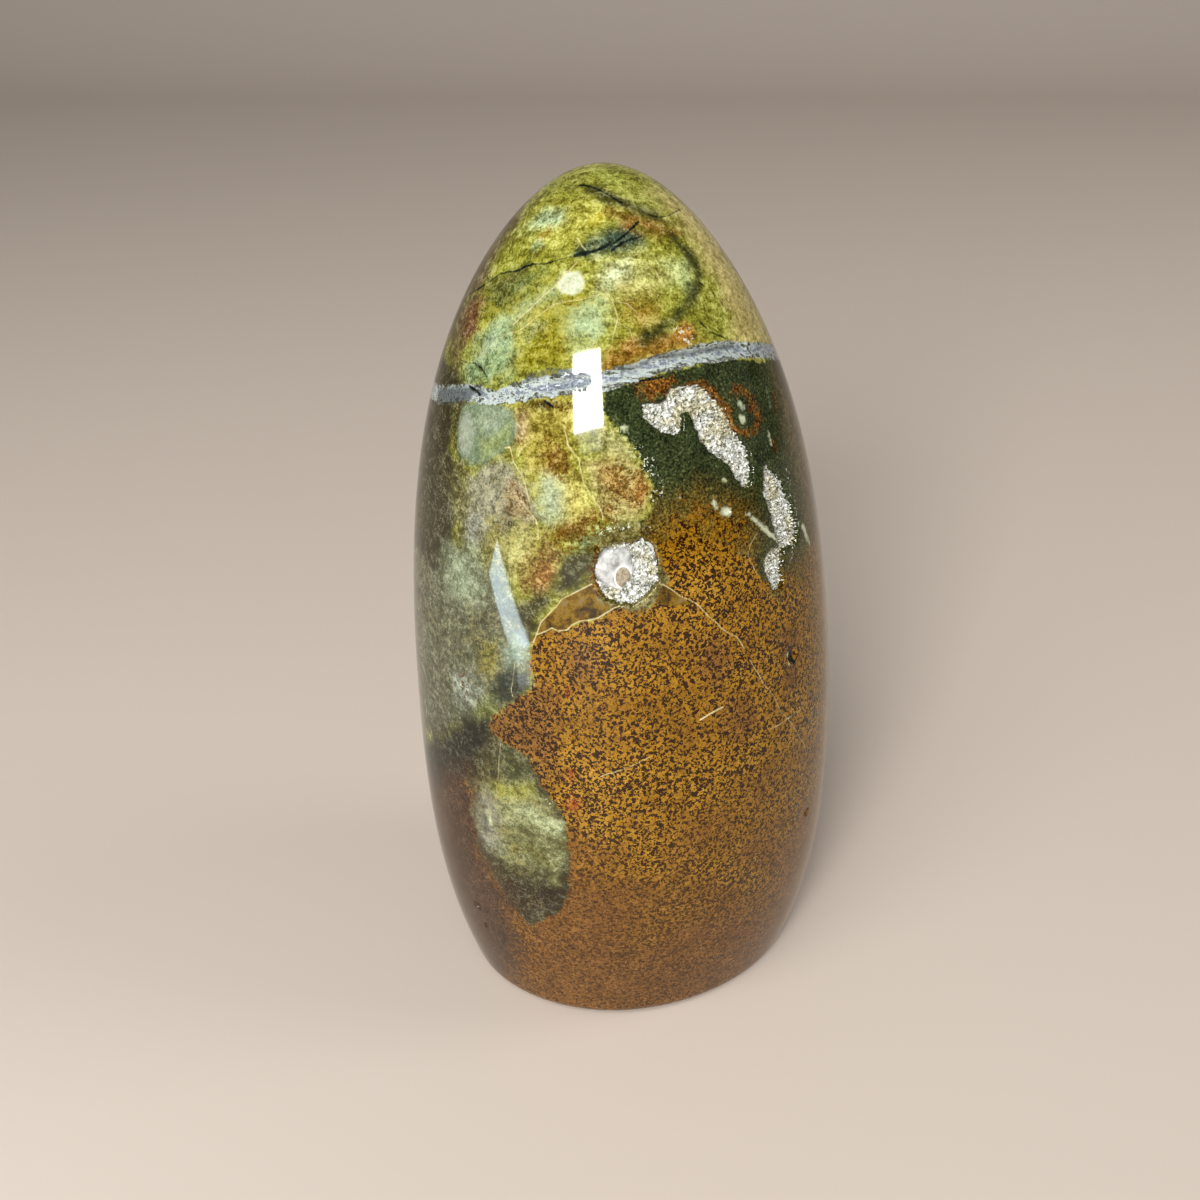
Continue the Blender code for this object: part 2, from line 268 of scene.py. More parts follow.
# Signed distance in mm from the skin's points to the nearest of some marks, under 0 on them
def distanceToMarks(points, flat, marks):
    nearest = np.full(len(points), farAway)
    for mark in marks:
        line = traceMark(mark)
        if mark.get("below"):
            nearest[~isInside(flat, spreadFlat(line))] = -farAway
        middle = line.mean(0)
        reach = np.linalg.norm(line - middle, axis=1).max() + farAway
        close = np.flatnonzero(((points - middle) ** 2).sum(1) < reach ** 2)
        eyeDistance = np.linalg.norm(middle - np.array(photoCamera["eye"]))
        halfWidth = mark["width"] / 2 * eyeDistance / photoCamera["focalPixels"]
        distance = distanceToLine(points[close], line) - halfWidth
        if mark["closed"]:
            inside = isInside(flat[close], spreadFlat(line)) != mark.get("below", False)
            distance = np.where(inside, -distance, distance)
        if mark.get("below"):
            nearest[close] = np.maximum(nearest[close], distance)
        nearest[close] = np.minimum(nearest[close], distance)
    return nearest


# The open hollows, as in the solid: the x and z of each one's middle on the front of the
# stone, and its outline in mm to the right and up on the plane that touches the stone there
hollows = {
    "upper": {
        "middle": (11.0, 115.1),
        "outline": [(-9.2, 5.6), (-9.3, 3.4), (-6.7, 0.6), (-5.0, -0.1), (-3.3, 0.4), (-2.9, 2.6),
                    (-1.8, 3.0), (-0.9, -1.6), (2.0, -4.8), (3.8, -6.5), (6.2, -10.5), (7.8, -10.5),
                    (9.0, -8.3), (8.8, -5.0), (6.4, -1.4), (4.6, 2.9), (1.9, 6.2), (0.0, 7.0),
                    (-3.9, 7.3), (-6.2, 5.2)],
    },
    "right": {
        "middle": (23.9, 97.3),
        "outline": [(0.2, 10.8), (2.2, 8.1), (3.9, 5.8), (5.4, 1.5), (6.4, -2.9), (5.2, -5.0),
                    (1.7, -4.6), (0.1, -7.0), (0.3, -9.8), (-1.4, -11.1), (-2.8, -10.4),
                    (-3.9, -7.7), (-4.6, -5.1), (-3.2, -3.3), (-0.6, -3.0), (-1.4, 2.2),
                    (-2.4, 6.3), (-1.3, 10.2)],
    },
    "centre": {
        "middle": (-1.0, 94.9),
        "outline": [(-3.6, 3.7), (-1.4, 4.8), (1.2, 4.8), (2.9, 5.5), (4.7, 4.4), (5.5, 1.6),
                    (5.6, -1.6), (3.7, -3.8), (1.6, -5.2), (-0.9, -5.3), (-3.2, -4.1),
                    (-4.3, -1.8), (-4.6, 0.8)],
    },
}
hollowShape = {"depth": 2.6, "wall": 0.5, "ragged": 0.35, "raggedSize": 0.9, "raggedReach": 2.05,
               "reach": 14}


# A frame on the skin at an x and z of the front: origin, to the right, up and outwards
def frontFrame(x, height):
    start = np.array([[x, raySearch["frontStart"], height]])
    origin = meetSkin(start, np.array([[0.0, 1.0, 0.0]]), 0, raySearch["frontReach"])[0]
    outwards = skinNormals(origin[None])[0]
    right = np.cross((0, 0, 1), outwards)
    right /= np.linalg.norm(right)
    return origin, right, np.cross(outwards, right), outwards


def onFrame(points, place):
    origin, right, up, outwards = place
    return np.stack([(points - origin) @ right, (points - origin) @ up], -1)


def noiseAt(points, size, layers=3):
    return np.array([noise.fractal(Vector(point / size), 1, 2, layers) for point in points])


# A share from 0 to 1 with soft ends
def eased(share):
    return share * share * (3 - 2 * share)


# How far points are inside a hollow's ragged outline, in mm, and under 0 around it
def insideHollow(points, hollow):
    place = frontFrame(*hollow["middle"])
    depth = np.full(len(points), -farAway)
    near = np.flatnonzero(((points - place[0]) ** 2).sum(1) < hollowShape["reach"] ** 2)
    flat = onFrame(points[near], place)
    outline = np.array(hollow["outline"])
    distance = distanceToLine(flat, np.vstack([outline, outline[:1]]))
    depth[near] = np.where(isInside(flat, outline), distance, -distance)
    edge = near[np.abs(depth[near]) < hollowShape["raggedReach"]]
    depth[edge] += noiseAt(points[edge], hollowShape["raggedSize"]) * hollowShape["ragged"]
    return depth


# The vein's groove in mm: its height at places across the front, and where it is open, as
# from x, to x, half width and depth. It is looked for up to so far above and below a height,
# and to the sides of the middle. The skin's slope squeezes it, a noise shakes it, its ends
# run out over a length, and its bottom is rounded.
veinGroove = {
    "line": [(-16, 121.3), (-6, 123.3), (8, 125.3), (18, 124.8)],
    "open": [(-12.6, -6.2, 0.75, 0.75), (-1.5, 18.2, 1.25, 0.6)],
    "height": 122,
    "upTo": 8,
    "aside": 21,
    "squeeze": 0.95,
    "shakeSize": 1.6,
    "shake": 0.35,
    "ends": 1.5,
    "roundness": 0.7,
}

# The pits as x, height and radius, how deep they are as a share of the radius, and how round
pits = [(15.0, 102.4, 1.0), (27.6, 74.2, 1.4), (32.9, 38.4, 0.9), (-27.2, 21.8, 1.1),
        (-25.7, 17.4, 0.7), (-16.5, 11.3, 0.7)]
pitShape = {"depth": 0.55, "roundness": 0.6}


def grooveDepth(points):
    table = np.array(veinGroove["line"], float)
    curve = np.polyfit(table[:, 0], table[:, 1], 3)
    depth = np.zeros(len(points))
    level = np.abs(points[:, 2] - veinGroove["height"]) < veinGroove["upTo"]
    near = np.flatnonzero((points[:, 1] < 0) & level & (np.abs(points[:, 0]) < veinGroove["aside"]))
    x = points[near, 0]
    across = (points[near, 2] - np.polyval(curve, x)) * veinGroove["squeeze"]
    across = across + noiseAt(points[near], veinGroove["shakeSize"]) * veinGroove["shake"]
    for start, end, halfWidth, deepest in veinGroove["open"]:
        ends = (np.clip((x - start) / veinGroove["ends"], 0, 1)
                * np.clip((end - x) / veinGroove["ends"], 0, 1))
        profile = np.clip(1 - (across / halfWidth) ** 2, 0, 1) ** veinGroove["roundness"]
        depth[near] = np.maximum(depth[near], deepest * profile * np.sqrt(ends))
    return depth


def meshPoints(mesh):
    flat = np.empty(len(mesh.vertices) * 3, np.float32)
    mesh.vertices.foreach_get("co", flat)
    return flat.reshape(-1, 3).astype(float)


# Rings of the stone's mesh from the foot's middle to the tip, as height and share of the width
def ringPlaces():
    rim = stoneForm["footRim"]
    rings = [(0.0, share) for share in np.linspace(0, 1, stoneMesh["footRings"] + 1)[1:]]
    turns = np.linspace(0, math.pi / 2, stoneMesh["rimRings"] + 1)[1:]
    rings += [(rim * (1 - math.cos(turn)), 1) for turn in turns]
    heights = np.linspace(rim, stoneForm["height"], stoneMesh["heightSteps"])
    halfWidth = section(heights)[0]
    run = np.concatenate([[0], np.cumsum(np.hypot(np.diff(heights), np.diff(halfWidth)))])
    even = np.linspace(0, run[-1], stoneMesh["bodyRings"] + 1)[1:-1]
    return rings + [(height, 1) for height in np.interp(even, run, heights)]


def stoneGrid():
    count = stoneMesh["around"]
    turn = np.linspace(-math.pi, math.pi, count, endpoint=False)
    angle = np.degrees(turn - stoneMesh["frontShare"] * np.sin(turn))
    rings = []
    for height, share in ringPlaces():
        ring = skinPoints(angle, np.full(count, height))
        middle = np.array([*[float(part) for part in section(np.array(height))[2:4]], height])
        rings.append(middle + (ring - middle) * share)
    foot = rings[0].mean(0)
    tip = np.array([np.polyval(middleXCurve, 1), np.polyval(middleYCurve, 1), stoneForm["height"]])
    points = np.concatenate([*rings, [foot], [tip]])
    faces = []
    last = len(rings) - 1
    for ring in range(last):
        for here in range(count):
            after = (here + 1) % count
            faces.append((ring * count + here, ring * count + after,
                          (ring + 1) * count + after, (ring + 1) * count + here))
    for here in range(count):
        after = (here + 1) % count
        faces.append((len(points) - 2, after, here))
        faces.append((last * count + here, last * count + after, len(points) - 1))
    mesh = bpy.data.meshes.new("stone")
    mesh.from_pydata(points.tolist(), [], faces)
    return mesh


# Parts the faces that have a corner nearer to a fine mark than a limit
def partFaces(mesh, distance, limit):
    near = distance < limit
    work = bmesh.new()
    work.from_mesh(mesh)
    edges = {edge for face in work.faces if any(near[vert.index] for vert in face.verts)
             for edge in face.edges}
    bmesh.ops.subdivide_edges(work, edges=list(edges), cuts=1, use_grid_fill=True)
    work.to_mesh(mesh)
    work.free()
    points = meshPoints(mesh)
    body = points[:, 2] > stoneForm["footRim"] + 1
    points[body] = settleOnSkin(points[body])
    mesh.vertices.foreach_set("co", points.ravel().astype(np.float32))
    mesh.update()


# Zones and marks of colour on the stone. Each name is an attribute that the material reads.
markings = {
    "jasper": [
        below((533, 640), (529, 664), (534, 684), (514, 702), (493, 717), (489, 728), (501, 741),
            (520, 752), (531, 765), (541, 783), (553, 800), (562, 812), (567, 830), (570, 860),
            (570, 890), (560, 912), (530, 925), (510, 905), (495, 875), (478, 850), (470, 815),
            (474, 790), (466, 778), (452, 782), (441, 795), side(-88, 24), side(-98, 33), side(-108, 39),
            side(-116, 35), side(-127, 28), side(-136, 34), side(-148, 31), side(-158, 39),
            side(-166, 40), side(-174, 50), side(178, 60), side(169, 58), side(160, 65), side(151, 61),
            side(144, 69), side(134, 70), side(127, 80), side(119, 81), side(112, 88), side(100, 86),
            (812, 560), (800, 575), (786, 592), (770, 590), (758, 575), (748, 548), (735, 530),
            (700, 515), (668, 528), (658, 550), (668, 582), (660, 600), (640, 612), (616, 607),
            (598, 620), (578, 622), (566, 631), (545, 632)),
    ],
    "softEdge": [
        stroke(70, (672, 520), (735, 520)),
        stroke(40, (790, 580), side(90, 86), side(130, 70), side(170, 60)),
    ],
    "red": [
        stroke(7, (571, 774), (571, 776)),
        stroke(12, (573, 800), (574, 806)),
        stroke(5, (566, 690), (568, 696)),
    ],
    # the reddish brown low on the left; its tones are darkened as painted shade, for the shadowed floor
    # this low part faces
    "brown": [
        patch((468, 768), (478, 792), (474, 815), (481, 850), (497, 875), (510, 905), (515, 940),
            (512, 975), side(-60, 1), side(-90, 1), side(-150, 1), side(-150, 14), side(-136, 26),
            side(-122, 30), side(-108, 42), side(-95, 38), (438, 780), (452, 768)),
    ],
    "moss": [
        patch((603, 386), (620, 386), (640, 380), (665, 373), (700, 364), (735, 359), (757, 361),
            side(75, 121), side(95, 120), side(118, 114), side(124, 108), side(121, 103), side(128, 99),
            side(124, 93), side(114, 88), side(100, 84), (818, 590), (805, 610), (780, 612), (750, 600),
            (730, 575), (700, 570), (672, 575), (662, 560), (655, 545), (640, 545), (640, 525),
            (650, 510), (655, 490), (645, 470), (640, 455), (625, 440), (612, 425), (604, 410)),
        patch((612, 607), (640, 612), (650, 600), (645, 620), (622, 622)),
    ],
    "rust": [
        patch((640, 400), (638, 385), (645, 378), (672, 379), (668, 392), (655, 400)),
        stroke(6, (686, 388), (700, 386), (714, 393), (722, 402), (728, 420), (735, 432)),
        stroke(6, (729, 402), (733, 390), (746, 390), (752, 402), (758, 414), (757, 430), (748, 434),
            (734, 428), (729, 416), (729, 402)),
        stroke(4, (598, 548), (594, 575), (598, 598)),
        stroke(3, (774, 395), (778, 412)),
        stroke(3, (773, 440), (778, 452)),
        stroke(4, (602, 376), (608, 373)),
    ],
    "chalkAndPaintedGlint": [
        patch((567, 272), (578, 272), (585, 281), (582, 290), (573, 295), (562, 293), (558, 285)),
        # painted highlight: this pale streak stands for the reflection of a low lamp on the right
        stroke(4, (747, 513), (757, 522), (770, 534), (784, 545)),
        stroke(6, (803, 526), (809, 543)),
        stroke(3, (677, 497), (678, 497)),
        stroke(8, (724, 511), (728, 512)),
        stroke(4, (712, 499), (716, 507)),
        stroke(5, (622, 427), (626, 430)),
        stroke(3, (766, 388), (771, 408)),
        stroke(3, (768, 432), (771, 444)),
        stroke(3, (724, 480), (725, 481)),
        stroke(8, (742, 418), (743, 420)),
        stroke(4, (738, 402), (744, 409)),
        stroke(4, (488, 812), (492, 825)),
        stroke(3, (788, 655), (789, 664)),
    ],
    "flecks": [
        stroke(16, (616, 434), (636, 450), (648, 466), (656, 486), (656, 502)),
        stroke(10, (600, 530), (650, 526)),
        stroke(6, (548, 800), (556, 830)),
        stroke(10, (786, 470), (798, 520), (790, 560)),
        stroke(12, (692, 336), (676, 330), (690, 340)),
    ],
    "rustFlecks": [
        patch((600, 462), (640, 468), (652, 490), (640, 515), (605, 500)),
        stroke(26, (530, 590), (545, 560), (580, 530), (610, 515)),
        stroke(14, (515, 485), (525, 510)),
        stroke(14, (462, 678), (466, 695)),
        stroke(16, (538, 405), (572, 408)),
        stroke(20, (548, 440), (560, 470)),
    ],
    # painted reflection: a tan band down the right rim stands for the warm room reflected at the grazing
    # edge
    "tanRimReflection": [
        patch((772, 372), (790, 440), (803, 500), (812, 560), (820, 640), (822, 740), (808, 860),
            (800, 880), side(62, 20), side(76, 30), side(84, 80), side(83, 112), side(76, 117)),
    ],
    "dull": [
        patch((500, 705), (534, 684), (560, 690), (556, 720), (560, 760), (545, 790), (531, 765),
            (501, 741), (485, 728)),
        patch((700, 640), (722, 640), (735, 665), (720, 685), (703, 672)),
        patch((722, 700), (745, 698), (762, 720), (750, 742), (728, 735)),
        patch((560, 650), (590, 646), (600, 668), (575, 680)),
        patch((783, 632), (797, 640), (798, 680), (788, 692), (780, 660)),
    ],
    "vein": [
        patch((440, 402), (443, 388), (450, 385), (466, 384), (480, 386), (497, 392), (512, 383),
            (530, 379), (551, 374), (574, 368), (600, 371), (615, 369), (631, 364), (649, 356),
            (671, 352), (692, 346), (711, 342), (730, 340), (744, 341), (752, 352), (747, 359),
            (732, 359), (701, 364), (671, 371), (646, 377), (613, 390), (570, 395), (533, 400),
            (493, 405), (460, 401)),
        stroke(16, (750, 350), side(80, 121), side(110, 117), side(140, 113), side(180, 108),
            side(-150, 107), side(-120, 110), side(-95, 113), (442, 395)),
    ],
    "veinDark": [
        stroke(15, (440, 395), (456, 395), (468, 394)),
        stroke(7, (468, 392), (480, 391)),
        stroke(6, (528, 379), (550, 371), (570, 373)),
        stroke(4, (617, 370), (640, 366), (652, 358), (690, 353), (735, 345)),
    ],
    "lens": [
        patch((533, 641), (536, 634), (541, 621), (548, 615), (556, 607), (562, 599), (570, 595),
            (578, 591), (590, 585), (598, 600), (612, 607), (598, 617), (580, 621), (570, 626),
            (567, 630), (558, 631), (552, 628), (545, 632)),
        patch((663, 583), (680, 596), (692, 604), (675, 606), (655, 604)),
    ],
    "paleLine": [
        stroke(0.9, (577, 262), (570, 270), (562, 278), (553, 288), (545, 294), (537, 302), (530, 309),
            (520, 318), (513, 325)),
        stroke(0.6, (600, 294), (590, 297), (580, 300), (563, 302), (553, 305), (545, 311), (535, 318),
            (525, 327), (517, 332), (507, 333), (500, 338)),
        stroke(1, (578, 238), (582, 246), (586, 250)),
        stroke(1.2, (505, 448), (510, 447), (512, 455), (514, 463), (519, 471), (523, 477), (525, 484),
            (527, 492), (529, 500)),
        stroke(1, (521, 501), (526, 508), (532, 515), (536, 520), (538, 530), (538, 540)),
        stroke(0.8, (563, 425), (566, 435), (568, 445), (573, 452), (579, 459), (580, 468), (582, 475),
            (584, 484), (588, 490), (592, 498), (596, 503), (600, 508), (602, 513), (603, 520)),
        stroke(1, (662, 584), (671, 589), (680, 596), (690, 600), (697, 604), (703, 610), (708, 616),
            (716, 622), (721, 628), (728, 633), (737, 637), (744, 648)),
        stroke(0.8, (750, 660), (753, 666), (758, 673), (763, 683), (770, 691), (776, 700), (780, 711),
            (788, 719), (794, 727), (799, 737), (804, 744), (806, 755)),
        stroke(0.8, (807, 701), (800, 710), (790, 717), (779, 725), (770, 729)),
        stroke(1.6, (700, 720), (708, 715), (715, 711), (723, 707)),
        stroke(0.6, (600, 777), (607, 774), (612, 773), (625, 769), (640, 762), (650, 757)),
        stroke(1, (533, 643), (536, 636), (541, 622), (548, 615), (556, 607), (562, 599), (570, 595),
            (578, 591), (586, 587), (592, 584)),
        stroke(1, (536, 635), (546, 631), (552, 628), (558, 631), (567, 630), (572, 625), (580, 621),
            (590, 620), (598, 618), (606, 613), (614, 608), (620, 606)),
        stroke(0.6, (757, 533), (750, 545), (748, 555), (757, 575)),
        stroke(0.6, (515, 662), (513, 680), (511, 690), (513, 697)),
        stroke(0.6, (501, 740), (499, 760), (498, 780)),
        stroke(1, (528, 443), (520, 450), (518, 457)),
        stroke(1.2, side(178, 96), side(-172, 84), side(-170, 70), side(-161, 60)),
        stroke(1, side(136, 58), side(146, 48), side(149, 36), side(158, 28)),
        stroke(0.8, (688, 404), (690, 414), (695, 424), (701, 436)),
        stroke(0.6, (601, 286), (612, 300), (618, 318), (612, 340)),
        stroke(0.5, (612, 300), (628, 304), (642, 318)),
        stroke(0.5, (594, 320), (612, 318), (630, 330), (634, 344)),
        stroke(0.6, (640, 262), (655, 270), (664, 286)),
    ],
    "darkLine": [
        stroke(1.6, (468, 296), (480, 288), (490, 281), (500, 274), (508, 272), (517, 271), (525, 267),
            (533, 264), (545, 264), (558, 260), (570, 257)),
        stroke(4, (575, 256), (580, 254), (590, 252), (597, 250), (605, 246), (610, 243)),
        stroke(2, (580, 185), (592, 187), (605, 193), (622, 203)),
        stroke(1.2, (648, 215), (655, 217), (663, 217), (670, 215), (677, 211), (683, 208)),
        stroke(2, (638, 222), (632, 228), (625, 235), (617, 241), (610, 246)),
        stroke(2.5, (640, 237), (630, 240), (622, 243), (612, 250)),
        stroke(2, side(163, 129), side(170, 119), side(-179, 112)),
        stroke(1.6, side(-142, 100), side(-150, 92), side(-152, 80)),
        stroke(1.2, (461, 360), (468, 363), (475, 363), (480, 367), (484, 372), (487, 377)),
        stroke(1.6, (700, 283), (712, 292), (720, 300), (727, 312)),
        stroke(1, (700, 322), (710, 332), (725, 338)),
        stroke(3, (545, 401), (553, 407)),
        stroke(2, (640, 381), (652, 379), (662, 377)),
        stroke(3, (470, 387), (477, 391), (480, 395)),
        stroke(5, (792, 648), (794, 662)),
    ],
}

